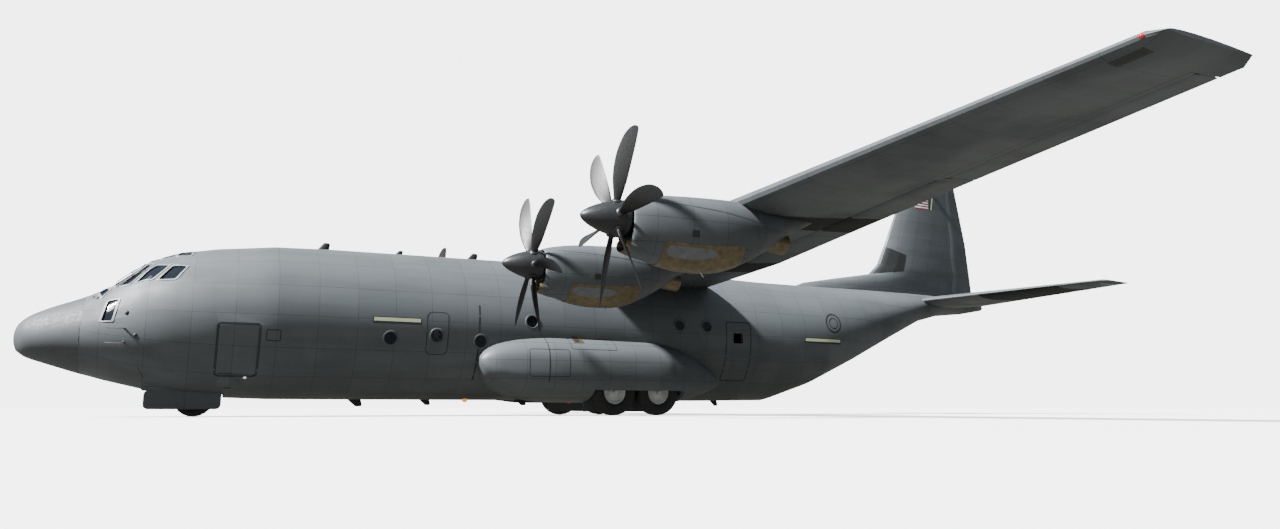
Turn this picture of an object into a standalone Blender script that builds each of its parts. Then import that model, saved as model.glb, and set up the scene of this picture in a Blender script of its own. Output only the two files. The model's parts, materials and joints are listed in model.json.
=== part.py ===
# Four-engine high-wing military transport plane, a 1:2 scale model, standing on its gear.
# Every length below is the full-size plane's, in metres: x aft of the nose tip, y to starboard,
# z above the ground. SCALE and place() turn them into the model, whose nose points to -X.
import math

import bmesh
import bpy
from mathutils import Vector

SCALE = 0.5
LENGTH = 34.37
JOINT_GAP = 0.0006  # between pieces that are fixed to each other
MOVING_GAP = 0.012  # round pieces that move
REAR_GAP = 0.03  # ahead of the round noses of rudder and elevators
SIDES = ((-1, "port"), (1, "starboard"))

HULL_SIDES = 32
HULL_WALL = 0.14
COCKPIT_WALL = 0.12
TAIL_WALL = 0.12
# x, half width, top, bottom, height of the widest place, roundness of the lower half
HULL = (
    (0.00, 0.14, 2.14, 1.86, 2.00, 2.0),
    (0.08, 0.36, 2.34, 1.66, 2.00, 2.0),
    (0.30, 0.62, 2.56, 1.50, 2.00, 2.0),
    (0.75, 0.90, 2.80, 1.34, 2.02, 2.0),
    (1.50, 1.24, 3.12, 1.10, 2.11, 2.0),
    (2.05, 1.48, 3.42, 0.94, 2.24, 2.05),
    (2.90, 1.80, 4.16, 0.73, 2.43, 2.15),
    (3.60, 1.97, 4.44, 0.60, 2.53, 2.2),
    (4.50, 2.09, 4.62, 0.52, 2.60, 2.2),
    (6.00, 2.18, 4.80, 0.47, 2.65, 2.2),
    (7.50, 2.19, 4.85, 0.47, 2.66, 2.2),
    (14.00, 2.19, 4.92, 0.47, 2.66, 2.2),
    (20.00, 2.19, 4.92, 0.47, 2.66, 2.2),
    (22.60, 2.19, 4.86, 0.50, 2.66, 2.3),
    (24.20, 2.15, 4.86, 1.05, 2.80, 2.8),
    (26.20, 1.95, 4.87, 1.98, 3.20, 3.3),
    (28.20, 1.57, 4.88, 2.88, 3.70, 3.2),
    (30.10, 1.12, 4.88, 3.66, 4.22, 2.8),
    (31.60, 0.78, 4.86, 4.02, 4.42, 2.4),
    (33.20, 0.48, 4.79, 4.18, 4.47, 2.0),
    (34.37, 0.16, 4.62, 4.38, 4.50, 2.0),
)
RADOME_END = 1.50
BULKHEAD = 0.06
COCKPIT_END = 6.00
BARREL_END = 23.00
OUTSIDE, INSIDE = 2.6, 1.2  # distances from the centre line beyond and within the hull's side wall
TAIL_HOLLOW_END = 33.2

FLOOR_TOP = 1.04
FLOOR_DEPTH = 0.14
FLOOR_START = 4.93
FLIGHT_DECK = (2.50, 4.60, 2.02, 2.14)  # front, back, underside, top

# window corners as (x, angle): 90 degrees is the top of the hull, 180 its port side
COCKPIT_WINDOWS = (
    ((2.78, 94.0), (2.70, 107.5), (2.16, 122.0), (2.12, 94.5)),
    ((2.86, 113.5), (2.98, 119.5), (2.50, 135.0), (2.24, 127.0)),
    ((3.06, 123.5), (3.36, 129.5), (3.00, 143.0), (2.62, 138.0)),
    ((3.44, 131.5), (3.78, 135.5), (3.54, 148.0), (3.14, 145.0)),
    ((2.94, 94.0), (3.14, 94.0), (3.10, 105.0), (2.90, 106.0)),
    ((3.22, 97.0), (3.50, 98.0), (3.46, 111.0), (3.16, 109.0)),
    ((3.58, 100.0), (3.90, 102.0), (3.84, 118.0), (3.52, 114.0)),
    ((1.96, 104.0), (2.05, 121.0), (1.90, 133.0), (1.80, 116.0)),
    ((2.07, 146.0), (2.30, 151.0), (2.20, 175.0), (1.96, 172.0)),
)
GLASS = (RADOME_END + BULKHEAD + 0.01, 4.50)  # front, back
GLASS_THICKNESS = 0.03
SEAT_Y = 0.56
ROUND_WINDOWS = ((8.94, 2.15), (10.23, 2.26), (11.52, 2.15), (13.08, 2.79), (18.16, 2.90), (19.20, 2.90))
ROUND_WINDOW_RADIUS = 0.17
CREW_DOOR = (4.63, 5.57, 1.10, 2.37)  # front, back, bottom, top
CREW_HINGE = (-1.578, 1.10)  # y, z of its lower edge
CREW_CORNER = 0.063
KNUCKLE_RADIUS = 0.0114
TROOP_DOOR = (20.00, 20.90, 1.19, 3.05)
TROOP_WINDOW = (20.25, 20.62, 2.38, 2.72)

RAMP_HINGE = (23.012, 0.66)
RAMP_END = 26.20
RAMP_HALF_WIDTH = 1.40
RAMP_THICKNESS = 0.30
RAMP_FOOT = 1.98  # height of the hull's underside where ramp and upper door meet
DOOR_HINGE = (29.90, 3.72)
DOOR_KNUCKLE = 0.03
DOOR_END_HALF_WIDTH = 0.72
MATING_LEAN = math.radians(40)  # of the joint between ramp and upper door, forward of upright

WING_ROOT = (14.80, 4.88)  # leading edge, chord
WING_TIP_CHORD = 2.44
WING_KINK = 5.60
WING_TIP = 20.205
WING_HEIGHT = 4.45  # chord line at the centre
DIHEDRAL = math.tan(math.radians(2.5))
ROOT_INCIDENCE = math.tan(math.radians(3.0))
WING_THICKNESS = (0.18, 0.12)
CAMBER = 0.02
WING_REAR = 0.72  # share of the chord where the fixed wing ends ahead of flaps and ailerons
FLAP_NOSE = 0.735
AILERON_HINGE = 0.765
FLAP_SPLIT = 9.00
FLAP_ROOT = 2.35
AILERON_RIB = (13.93, 14.07)
AILERON_END = 19.55
FLAP_PIVOT_DEPTH = 1.25
WING_STATIONS = (0.0, FLAP_ROOT, WING_KINK, AILERON_RIB[0], AILERON_RIB[1], AILERON_END, WING_TIP)
FORE_SHARES = (1.0, 0.7, 0.42, 0.21, 0.07, 0.016)
FOIL_NOSE = 0.2969
FOIL_FACTORS = (-0.1260, -0.3516, 0.2843, -0.1015)  # of the share of the chord, its square and so on

ENGINES = ((4.95, 4.04), (10.16, 4.30))  # y and z of the thrust lines
# x, height above and depth below the thrust line, half width
NACELLE = (
    (12.26, 0.44, 0.66, 0.44),
    (12.60, 0.53, 0.84, 0.51),
    (13.10, 0.61, 1.04, 0.57),
    (13.70, 0.65, 1.11, 0.60),
    (14.50, 0.68, 1.06, 0.60),
    (15.20, 0.68, 0.82, 0.56),
    (15.90, 0.60, 0.42, 0.46),
    (16.60, 0.50, 0.00, 0.28),
    (17.10, 0.42, -0.20, 0.12),
)
NACELLE_SIDES = 20
NACELLE_ROUNDNESS = 2.3
BAY_RADIUS = 0.38
ENGINE = (12.62, 14.95, 0.34)  # front, back, radius
SHAFT = (12.235, 0.11)  # front, radius
SPINNER = ((11.20, 0.0), (11.24, 0.08), (11.40, 0.19), (11.64, 0.30), (11.92, 0.38), (12.23, 0.42))
BLADE_AXIS = 11.99
# distance out, chord, thickness, pitch in degrees, sweep
BLADE_ROWS = (
    (0.28, 0.17, 0.14, 62, 0.0),
    (0.46, 0.19, 0.11, 58, 0.0),
    (0.85, 0.33, 0.080, 48, -0.02),
    (1.35, 0.40, 0.060, 38, -0.01),
    (1.80, 0.33, 0.044, 31, 0.05),
    (2.055, 0.14, 0.030, 28, 0.13),
)
BLADE_SECTION = ((-0.5, 0.0), (-0.22, 0.5), (0.2, 0.42), (0.5, 0.0), (0.2, -0.3), (-0.22, -0.4))
BLADES = 6
BLADE_PHASE = {"port_outer": 22.0, "port_inner": 38.0, "starboard_inner": 8.0, "starboard_outer": 15.0}

# height, leading edge, trailing edge
FIN = (
    (4.72, 24.10, 33.97),
    (5.02, 24.90, 33.95),
    (5.30, 26.50, 33.92),
    (5.58, 28.20, 33.90),
    (6.00, 28.68, 33.87),
    (7.20, 29.28, 33.74),
    (10.88, 31.05, 33.03),
    (11.35, 31.29, 32.94),
    (11.68, 31.62, 32.78),
    (11.84, 31.92, 32.52),
)
RUDDER = (4.99, 11.32)
RUDDER_HINGE = 32.69
STABILISER_HEIGHT = 4.50
STABILISER = ((0.0, 29.90, 33.95), (7.50, 31.17, 32.84), (7.88, 31.28, 32.78), (8.02, 31.50, 32.66))
ELEVATOR = (0.98, 7.46)
ELEVATOR_HINGE = 32.38
FIN_WALL = 0.05
FIN_THICKNESS = 0.11
FIN_FULL_CHORD = 5.2  # below this chord the fin's thickness follows it
FIN_HOLLOW = (6.1, 7.20, 10.6)

# x, outer side, top, bottom
POD = (
    (11.55, 2.30, 1.78, 1.42),
    (11.95, 2.50, 2.12, 0.92),
    (12.80, 2.64, 2.36, 0.56),
    (13.90, 2.72, 2.45, 0.41),
    (17.20, 2.72, 2.40, 0.39),
    (18.40, 2.60, 2.12, 0.44),
    (19.15, 2.40, 1.62, 0.66),
    (19.60, 2.20, 1.20, 0.90),
)
POD_INNER = 1.00
MAIN_BAY = (14.95, 18.08, 1.55, 2.52, 1.54)  # front, back, inner side, outer side, roof
MAIN_WHEELS = (15.75, 17.27)
TRACK_HALF = 2.175
MAIN_TYRE = (0.71, 0.50)
MAIN_RIM = 0.30
WHEEL_SIDES = 24
NOSE_WHEEL_X = 4.19
NOSE_TYRE = (0.495, 0.33)
NOSE_RIM = 0.20
NOSE_WHEEL_Y = 0.265
NOSE_STRUT = (0.98, 0.12)  # foot, radius
NOSE_FORK_RADIUS = 0.078
NOSE_DOOR_FOOT = 0.20
AXLE_RADIUS = 0.058
BORE_RADIUS = 0.0596
NOSE_BAY = (2.95, 4.90, 0.745, 0.70, 1.62)  # front, back, half width, bottom, roof
BAY_WALL = 0.045


def place(x, y, z):
    return Vector(((x - LENGTH / 2) * SCALE, y * SCALE, z * SCALE))


def material(name, colour, roughness, metallic=0.0):
    made = bpy.data.materials.new(name)
    made.use_nodes = True
    shader = made.node_tree.nodes["Principled BSDF"]
    shader.inputs["Base Color"].default_value = (*colour, 1.0)
    shader.inputs["Roughness"].default_value = roughness
    shader.inputs["Metallic"].default_value = metallic
    return made


def clear_scene():
    for obj in list(bpy.data.objects):
        bpy.data.objects.remove(obj)


def closed(bm):
    bmesh.ops.remove_doubles(bm, verts=bm.verts, dist=1e-5)
    bmesh.ops.recalc_face_normals(bm, faces=bm.faces)
    return bm


def add_object(name, bm, finish=None, origin=None):
    """The mesh as an object whose origin is at a full-size point."""
    at = place(*origin) if origin else Vector()
    bmesh.ops.translate(closed(bm), vec=-at, verts=bm.verts)
    mesh = bpy.data.meshes.new(name)
    bm.to_mesh(mesh)
    bm.free()
    mesh.shade_smooth()
    mesh.set_sharp_from_angle(angle=math.radians(32))
    obj = bpy.data.objects.new(name, mesh)
    bpy.context.scene.collection.objects.link(obj)
    obj.location = at
    if finish:
        mesh.materials.append(finish)
    return obj


def cutter(name, bm):
    obj = add_object(name, bm)
    obj.hide_render = True
    obj.display_type = "WIRE"
    return obj


def boolean(obj, other, operation="DIFFERENCE"):
    made = obj.modifiers.new(other.name, "BOOLEAN")
    made.operation = operation
    made.object = other
    made.solver = "EXACT"


def ring_verts(bm, ring):
    return [bm.verts.new(place(*point)) for point in ring]


def bridge(bm, first, second):
    """Triangles between two rings, every diagonal the same way, so that neighbours made alike fit."""
    count = len(first)
    for i in range(count):
        after = (i + 1) % count
        bm.faces.new((first[i], first[after], second[after]))
        bm.faces.new((first[i], second[after], second[i]))


def loft(rings):
    """A solid through closed rings of the same number of points."""
    bm = bmesh.new()
    made = [ring_verts(bm, ring) for ring in rings]
    for first, second in zip(made, made[1:]):
        bridge(bm, first, second)
    bm.faces.new(made[0])
    bm.faces.new(made[-1])
    return bm


def shell(outer, inner, front_closed=False, back_closed=False):
    """A hollow tube between outer and inner rings, open or closed at each end."""
    bm = bmesh.new()
    skins = []
    for rings in (outer, inner):
        made = [ring_verts(bm, ring) for ring in rings]
        for first, second in zip(made, made[1:]):
            bridge(bm, first, second)
        skins.append(made)
    for end, is_closed in ((0, front_closed), (-1, back_closed)):
        if is_closed:
            bm.faces.new(skins[0][end])
            bm.faces.new(skins[1][end])
        else:
            bridge(bm, skins[0][end], skins[1][end])
    return bm


def box(low, high):
    bm = bmesh.new()
    (x0, y0, z0), (x1, y1, z1) = low, high
    front = ring_verts(bm, ((x0, y0, z0), (x0, y1, z0), (x0, y1, z1), (x0, y0, z1)))
    back = ring_verts(bm, ((x1, y0, z0), (x1, y1, z0), (x1, y1, z1), (x1, y0, z1)))
    bridge(bm, front, back)
    bm.faces.new(front)
    bm.faces.new(back)
    return bm


def both_sides(low, high):
    """A box from y = low to high, and its mirror image, by side."""
    return {side: ((low[0], min(side * low[1], side * high[1]), low[2]),
                   (high[0], max(side * low[1], side * high[1]), high[2])) for side in (-1, 1)}


def turned(profile, centre, axis, sides):
    """A solid turned round an axis through centre; profile holds (distance along, radius)."""
    bm = bmesh.new()
    centre, along = Vector(centre), Vector(axis).normalized()
    across = along.orthogonal().normalized()
    other = along.cross(across)
    rings = []
    for distance, radius in profile:
        if radius == 0:
            rings.append([bm.verts.new(place(*(centre + along * distance)))])
            continue
        rings.append(ring_verts(bm, [
            centre + along * distance + (across * math.cos(turn) + other * math.sin(turn)) * radius
            for turn in (2 * math.pi * i / sides for i in range(sides))
        ]))
    for first, second in zip(rings, rings[1:]):
        if len(first) == len(second):
            bridge(bm, first, second)
            continue
        tip, circle = (first, second) if len(first) == 1 else (second, first)
        for i in range(sides):
            bm.faces.new((tip[0], circle[i], circle[(i + 1) % sides]))
    if len(rings[0]) > 1 and profile[0] != profile[-1]:
        bm.faces.new(rings[0])
    if len(rings[-1]) > 1 and profile[0] != profile[-1]:
        bm.faces.new(rings[-1])
    return bm


def rod(start, end, radius, sides=16):
    length = (Vector(end) - Vector(start)).length
    return turned(((0, radius), (length, radius)), start, Vector(end) - Vector(start), sides)


def between(table, key):
    """A row of the table at a key between two of its rows."""
    for low, high in zip(table, table[1:]):
        if key <= high[0]:
            share = (key - low[0]) / (high[0] - low[0])
            return [a + (b - a) * share for a, b in zip(low[1:], high[1:])]
    return list(table[-1][1:])


def hull_point(x, turn, inset=0.0):
    half_width, top, bottom, middle, roundness = between(HULL, x)
    half_width, top, bottom = half_width - inset, top - inset, bottom + inset
    c, s = math.cos(turn), math.sin(turn)
    if s >= 0:
        return (x, half_width * c, middle + (top - middle) * s)
    power = 2 / roundness
    depth = (middle - bottom) * abs(s) ** power
    return (x, math.copysign(half_width * abs(c) ** power, c), middle - depth)


def hull_ring(x, inset=0.0, sides=HULL_SIDES):
    return [hull_point(x, 2 * math.pi * (i + 0.5) / sides, inset) for i in range(sides)]


def hull_stations(start, end):
    return [start] + [row[0] for row in HULL if start + 1e-6 < row[0] < end - 1e-6] + [end]


def hull_solid(start, end, inset=0.0):
    return loft([hull_ring(x, inset) for x in hull_stations(start, end)])


def make_radome(paint):
    add_object("nose_radome", hull_solid(0.0, RADOME_END - JOINT_GAP), paint)


def window_cutter(name, corners, port):
    """A prism through the hull wall from window corners given as (x, angle)."""
    rings = []
    for inset in (0.30, -0.15):
        ring = []
        for (x0, a0), (x1, a1) in zip(corners, corners[1:] + corners[:1]):
            for share in (0.0, 0.5):
                x, angle = x0 + (x1 - x0) * share, a0 + (a1 - a0) * share
                point = hull_point(x, math.radians(angle if port else 180 - angle), inset)
                ring.append(point)
        rings.append(ring)
    return cutter(name, loft(rings))


def make_cockpit(paint):
    outer = [hull_ring(x) for x in hull_stations(RADOME_END, COCKPIT_END - JOINT_GAP)]
    stations = hull_stations(RADOME_END + BULKHEAD, COCKPIT_END - JOINT_GAP)
    inner = [hull_ring(x, COCKPIT_WALL) for x in stations]
    body = add_object("cockpit_section", shell(outer, inner, front_closed=True), paint)
    for n, corners in enumerate(COCKPIT_WINDOWS):
        for side, name in SIDES:
            boolean(body, window_cutter(f"window_cut_{n}_{name}", corners, side < 0))
    front, back, half, bottom, roof = NOSE_BAY
    boolean(body, cutter("nose_bay_cut", box((front, -half, 0.2), (back, half, roof))))
    x0, x1, z0, z1 = CREW_DOOR
    boolean(body, cutter("crew_door_cut", box(
        (x0 - MOVING_GAP, -OUTSIDE, z0 - MOVING_GAP), (x1 + MOVING_GAP, -INSIDE, z1 + MOVING_GAP))))
    # room below the sill for the door's swollen aft corner when it is down
    y, z = CREW_HINGE
    corner = box((x1 - CREW_CORNER, y - 0.2, z - 0.04), (x1 + MOVING_GAP, y + 0.04, z))
    boolean(body, cutter("crew_door_corner", corner))


def make_crew_door(paint):
    x0, x1, z0, z1 = CREW_DOOR
    outer = [hull_ring(x) for x in hull_stations(x0 - 0.3, x1 + 0.3)]
    inner = [hull_ring(x, COCKPIT_WALL) for x in hull_stations(x0 - 0.3, x1 + 0.3)]
    y, z = CREW_HINGE
    door = add_object("crew_door", shell(outer, inner), paint, ((x0 + x1) / 2, y, z))
    boolean(door, cutter("crew_door_shape", box((x0, -OUTSIDE, z0), (x1, -INSIDE, z1))), "INTERSECT")
    knuckle = rod((x0 + 0.05, y, z), (x1 - 0.05, y, z), KNUCKLE_RADIUS, 8)
    boolean(door, cutter("crew_door_knuckle", knuckle), "UNION")


def make_barrel(paint):
    start, end = COCKPIT_END, BARREL_END - JOINT_GAP
    outer = [hull_ring(x) for x in hull_stations(start, end)]
    inner = [hull_ring(x, HULL_WALL) for x in hull_stations(start, end)]
    body = add_object("main_barrel", shell(outer, inner), paint)
    boolean(body, cutter("wing_opening", wing_centre(2 * JOINT_GAP)))
    x0, x1, z0, z1 = TROOP_DOOR
    for side, name in SIDES:
        low, high = both_sides((x0, INSIDE, z0), (x1, OUTSIDE, z1))[side]
        boolean(body, cutter(f"troop_door_cut_{name}", box(low, high)))
        for n, (x, z) in enumerate(ROUND_WINDOWS):
            hole = rod((x, side * 1.7, z), (x, side * 2.5, z), ROUND_WINDOW_RADIUS, 16)
            boolean(body, cutter(f"round_window_cut_{name}_{n}", hole))


def make_troop_doors(paint):
    x0, x1, z0, z1 = TROOP_DOOR
    g = JOINT_GAP
    for side, name in SIDES:
        outer = [hull_ring(x) for x in (x0 - 0.2, x1 + 0.2)]
        inner = [hull_ring(x, HULL_WALL) for x in (x0 - 0.2, x1 + 0.2)]
        door = add_object(f"paratroop_door_{name}", shell(outer, inner), paint)
        low, high = both_sides((x0 + g, INSIDE, z0 + g), (x1 - g, OUTSIDE, z1 - g))[side]
        boolean(door, cutter(f"troop_door_shape_{name}", box(low, high)), "INTERSECT")
        wx0, wx1, wz0, wz1 = TROOP_WINDOW
        low, high = both_sides((wx0, INSIDE, wz0), (wx1, OUTSIDE, wz1))[side]
        boolean(door, cutter(f"troop_window_cut_{name}", box(low, high)))


def ramp_plan(grow, back_grow, top_front=5.0, top_back=5.0):
    """The plan shape of the ramp and the upper door as a tall prism."""
    rows = ((BARREL_END - 0.5, RAMP_HALF_WIDTH, top_front), (RAMP_END, RAMP_HALF_WIDTH, top_front),
            (DOOR_HINGE[0] + back_grow, DOOR_END_HALF_WIDTH, top_back))
    rings = []
    for x, half, top in rows:
        y = half + grow
        rings.append([(x, -y, 0.0), (x, y, 0.0), (x, y, top), (x, -y, top)])
    return loft(rings)


def beyond_mating(offset, way):
    """A block on one side of the leaning plane between ramp and upper door: way 1 is aft of it."""
    lean = Vector((-math.sin(MATING_LEAN), 0, math.cos(MATING_LEAN)))
    away = Vector((math.cos(MATING_LEAN), 0, math.sin(MATING_LEAN))) * way
    foot = Vector((RAMP_END, 0, RAMP_FOOT)) + away * offset
    corners = (foot - lean * 4, foot + lean * 4, foot + lean * 4 + away * 8, foot - lean * 4 + away * 8)
    return loft([[(p.x, y, p.z) for p in corners] for y in (-3.0, 3.0)])


def make_tail(paint):
    start, end = BARREL_END, LENGTH
    outer = [hull_ring(x) for x in hull_stations(start, end)]
    inner = [hull_ring(x, TAIL_WALL) for x in hull_stations(start, TAIL_HOLLOW_END)]
    body = add_object("tail_section", shell(outer, inner, back_closed=True), paint)
    opening = ramp_plan(MOVING_GAP, DOOR_KNUCKLE + JOINT_GAP, 2.9, 4.0)
    boolean(body, cutter("ramp_opening", opening))
    boolean(body, stabiliser_cutter())


def make_ramp(paint):
    hinge_x, hinge_z = RAMP_HINGE
    front = BARREL_END + 1.5 * MOVING_GAP
    solid = loft([hull_ring(x) for x in hull_stations(BARREL_END, RAMP_END + 0.6)])
    ramp = add_object("cargo_ramp", solid, paint, (hinge_x, 0.0, hinge_z))
    half, back = RAMP_HALF_WIDTH, RAMP_END + 0.3
    top_back = RAMP_FOOT + RAMP_THICKNESS
    rings = [[(x, -half, 0.0), (x, half, 0.0), (x, half, top), (x, -half, top)]
             for x, top in ((front, FLOOR_TOP), (back, top_back))]
    boolean(ramp, cutter("ramp_shape", loft(rings)), "INTERSECT")
    boolean(ramp, cutter("ramp_end_cut", beyond_mating(-MOVING_GAP / 2, 1)))
    pin = rod((hinge_x, -0.45, hinge_z), (hinge_x, 0.45, hinge_z), KNUCKLE_RADIUS, 8)
    boolean(ramp, cutter("ramp_knuckle", pin), "UNION")


def make_cargo_door(paint):
    outer = [hull_ring(x) for x in hull_stations(BARREL_END, LENGTH - 3.0)]
    inner = [hull_ring(x, TAIL_WALL) for x in hull_stations(BARREL_END, LENGTH - 3.0)]
    hinge_x, hinge_z = DOOR_HINGE
    door = add_object("cargo_door", shell(outer, inner), paint, (hinge_x, 0.0, hinge_z))
    boolean(door, cutter("cargo_door_shape", ramp_plan(0.0, 0.0, 2.9, 4.0)), "INTERSECT")
    boolean(door, cutter("cargo_door_end_cut", beyond_mating(-MOVING_GAP / 2, -1)))
    pin = rod((hinge_x, -0.40, hinge_z), (hinge_x, 0.40, hinge_z), DOOR_KNUCKLE, 12)
    boolean(door, cutter("cargo_door_knuckle", pin), "UNION")


def make_floors(paint):
    floor = box((FLOOR_START, -3.0, FLOOR_TOP - FLOOR_DEPTH), (BARREL_END - JOINT_GAP, 3.0, FLOOR_TOP))
    cargo = add_object("cargo_floor", floor, paint)
    room = hull_solid(RADOME_END, BARREL_END, HULL_WALL + 2 * JOINT_GAP)
    boolean(cargo, cutter("cargo_floor_edge", room), "INTERSECT")
    front, back, low, high = FLIGHT_DECK
    deck = add_object("flight_deck", box((front, -3.0, low), (back, 3.0, high)), paint)
    room = hull_solid(RADOME_END, COCKPIT_END, COCKPIT_WALL + 3 * JOINT_GAP)
    boolean(deck, cutter("flight_deck_edge", room), "INTERSECT")


def make_cockpit_fittings(panel_paint, seat_cloth):
    top = FLIGHT_DECK[3] + JOINT_GAP
    panel = add_object("instrument_panel", box((2.42, -1.02, 2.66), (2.58, 1.02, 3.12)), panel_paint)
    boolean(panel, cutter("panel_pedestal", box((2.52, -0.20, top), (3.25, 0.20, 2.78))), "UNION")
    for side, name in SIDES:
        y = side * SEAT_Y
        cushion = box((3.05, y - 0.25, 2.50), (3.52, y + 0.25, 2.66))
        back = box((3.44, y - 0.24, 2.55), (3.58, y + 0.24, 3.42))
        foot = box((3.12, y - 0.18, top), (3.46, y + 0.18, 2.55))
        seat = add_object(f"seat_{name}", cushion, seat_cloth)
        boolean(seat, cutter(f"seat_back_{name}", back), "UNION")
        boolean(seat, cutter(f"seat_foot_{name}", foot), "UNION")


def make_cockpit_glass(glass):
    """A skin close inside the wall, behind all the window openings."""
    inset = COCKPIT_WALL + 4 * JOINT_GAP
    upper_facets = range(-1, HULL_SIDES // 2 + 1)
    rings = []
    for x in hull_stations(*GLASS):
        outer, inner = hull_ring(x, inset), hull_ring(x, inset + GLASS_THICKNESS)
        rings.append([outer[i] for i in upper_facets] + [inner[i] for i in reversed(upper_facets)])
    add_object("cockpit_glass", loft(rings), glass)


def foil_half(share, thickness):
    """Half thickness of the section as a share of its chord."""
    rest = sum(factor * share ** (n + 1) for n, factor in enumerate(FOIL_FACTORS))
    return 5 * thickness * (FOIL_NOSE * math.sqrt(share) + rest)


def foil_outline(chord, thickness, cut, whole, grow=0.0):
    """(along, across) points round a section: whole, or with a flat rear face at the share cut."""
    aft = (1.0, (1.0 + cut) / 2)
    upper = []
    for f in aft:
        if whole:
            upper.append((f * chord + (grow if f == 1.0 else 0), foil_half(f, thickness) * chord + grow))
        else:
            level = foil_half(cut, thickness) * chord * (1 - 0.9 * (f - cut) / (1 - cut)) + grow * 0.2
            upper.append((cut * chord + grow, level))
    for share in FORE_SHARES:
        f = share * cut
        rear = grow if share == 1.0 and not whole else 0
        upper.append((f * chord + rear, foil_half(f, thickness) * chord + grow))
    return upper + [(-grow, 0.0)] + [(along, -across) for along, across in reversed(upper)]


def hollow_outline(chord, thickness, cut, wall):
    """The room inside a fin, a wall's thickness in from its skin and open past its rear face."""
    upper = []
    for share in (1.0, 0.6, 0.3, 0.12):
        f = share * cut
        rear = 0.08 if share == 1.0 else 0.0
        upper.append((f * chord + rear, foil_half(f, thickness) * chord - wall))
    return upper + [(along, -across) for along, across in reversed(upper)]


def moving_outline(chord, thickness, hinge, nose_scale=1.0):
    """(along, across) points round a flap or rudder: a round nose about the hinge, then the tail."""
    radius = foil_half(hinge, thickness) * chord * nose_scale
    shares = (1.0, (2 + hinge) / 3, (1 + 2 * hinge) / 3)
    upper = [(f * chord, foil_half(f, thickness) * chord) for f in shares]
    nose = [(hinge * chord + radius * math.cos(turn), radius * math.sin(turn))
            for turn in (math.radians(a) for a in (90, 120, 150, 180, 210, 240, 270))]
    return upper + nose + [(along, -across) for along, across in reversed(upper)]


def wing_row(y):
    """Leading edge, chord, height, incidence and thickness share at a distance from the centre."""
    out = abs(y)
    share = max(0.0, (out - WING_KINK) / (WING_TIP - WING_KINK))
    lead, root = WING_ROOT
    chord = root + (WING_TIP_CHORD - root) * share
    quarter = lead + root / 4
    along_span = out / WING_TIP
    thickness = WING_THICKNESS[0] + (WING_THICKNESS[1] - WING_THICKNESS[0]) * along_span
    height, incidence = WING_HEIGHT + out * DIHEDRAL, ROOT_INCIDENCE * (1 - along_span)
    return quarter - chord / 4, chord, height, incidence, thickness


def wing_place(y, points):
    """Section points set into the wing: camber, incidence and dihedral added."""
    lead, chord, height, incidence, _ = wing_row(y)
    ring = []
    for along, across in points:
        f = along / chord
        camber = 4 * CAMBER * f * (1 - f) * chord
        ring.append((lead + along, y, height + camber + (0.25 - f) * chord * incidence + across))
    return ring


def wing_ring(y, whole, grow=0.0):
    """The wing's section at y, on the straight lines between its own span stations."""
    out = abs(y)
    for low, high in zip(WING_STATIONS, WING_STATIONS[1:]):
        if out <= high:
            break
    share = (out - low) / (high - low)
    ends = []
    for station in (low, high):
        _, chord, _, _, thickness = wing_row(station)
        ends.append(wing_place(station, foil_outline(chord, thickness, WING_REAR, whole, grow)))
    return [(a[0] + (b[0] - a[0]) * share, y, a[2] + (b[2] - a[2]) * share) for a, b in zip(*ends)]


def tip_ring(side):
    """The last ring of the wing, drawn in to round the tip."""
    ring = wing_ring(side * WING_TIP, True)
    lead, chord, height, _, _ = wing_row(WING_TIP)
    mid_x, mid_z = lead + chord * 0.45, height + 0.04
    return [(mid_x + (x - mid_x) * 0.82, y, mid_z + (z - mid_z) * 0.25) for x, y, z in ring]


def wing_centre(grow=0.0):
    spans = ((-WING_KINK, False), (-FLAP_ROOT, False), (-FLAP_ROOT, True), (0.0, True),
             (FLAP_ROOT, True), (FLAP_ROOT, False), (WING_KINK, False))
    return loft([wing_ring(y, whole, grow) for y, whole in spans])


def wing_outer(side, grow=0.0):
    spans = ((WING_KINK + JOINT_GAP, False), (AILERON_RIB[0], False), (AILERON_RIB[0], True),
             (AILERON_RIB[1], True), (AILERON_RIB[1], False), (AILERON_END, False), (AILERON_END, True),
             (WING_TIP - 0.28, True))
    return loft([wing_ring(side * y, whole, grow) for y, whole in spans] + [tip_ring(side)])


def make_wing(paint):
    add_object("wing_centre", wing_centre(), paint)
    for side, name in SIDES:
        add_object(f"wing_outer_{name}", wing_outer(side), paint)


def hinge_pin(start, end, radius=0.022):
    return rod(start, end, radius, 8)


def make_ailerons(paint):
    for side, name in SIDES:
        low, high = AILERON_RIB[1], AILERON_END
        first, last = low + 0.04, high - 0.04
        rings = []
        for y in (first, last):
            _, chord, _, _, thickness = wing_row(y)
            rings.append(wing_place(side * y, moving_outline(chord, thickness, AILERON_HINGE)))
        line = []
        for y in (low, first + 0.1, last - 0.1, high):
            line.append(Vector(wing_place(side * y, [(wing_row(y)[1] * AILERON_HINGE, 0.0)])[0]))
        aileron = add_object(f"aileron_{name}", loft(rings), paint, line[0])
        along = (line[3] - line[0]).normalized()
        for n, (wall, inside, way) in enumerate(((line[0], line[1], 1), (line[3], line[2], -1))):
            pin = hinge_pin(wall + along * way * 0.0036, inside)
            boolean(aileron, cutter(f"aileron_pin_{name}_{n}", pin), "UNION")


def flap_pivot(y):
    lead, chord, height, _, _ = wing_row(y)
    return lead + chord * (FLAP_NOSE + 0.03), height - FLAP_PIVOT_DEPTH


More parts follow.
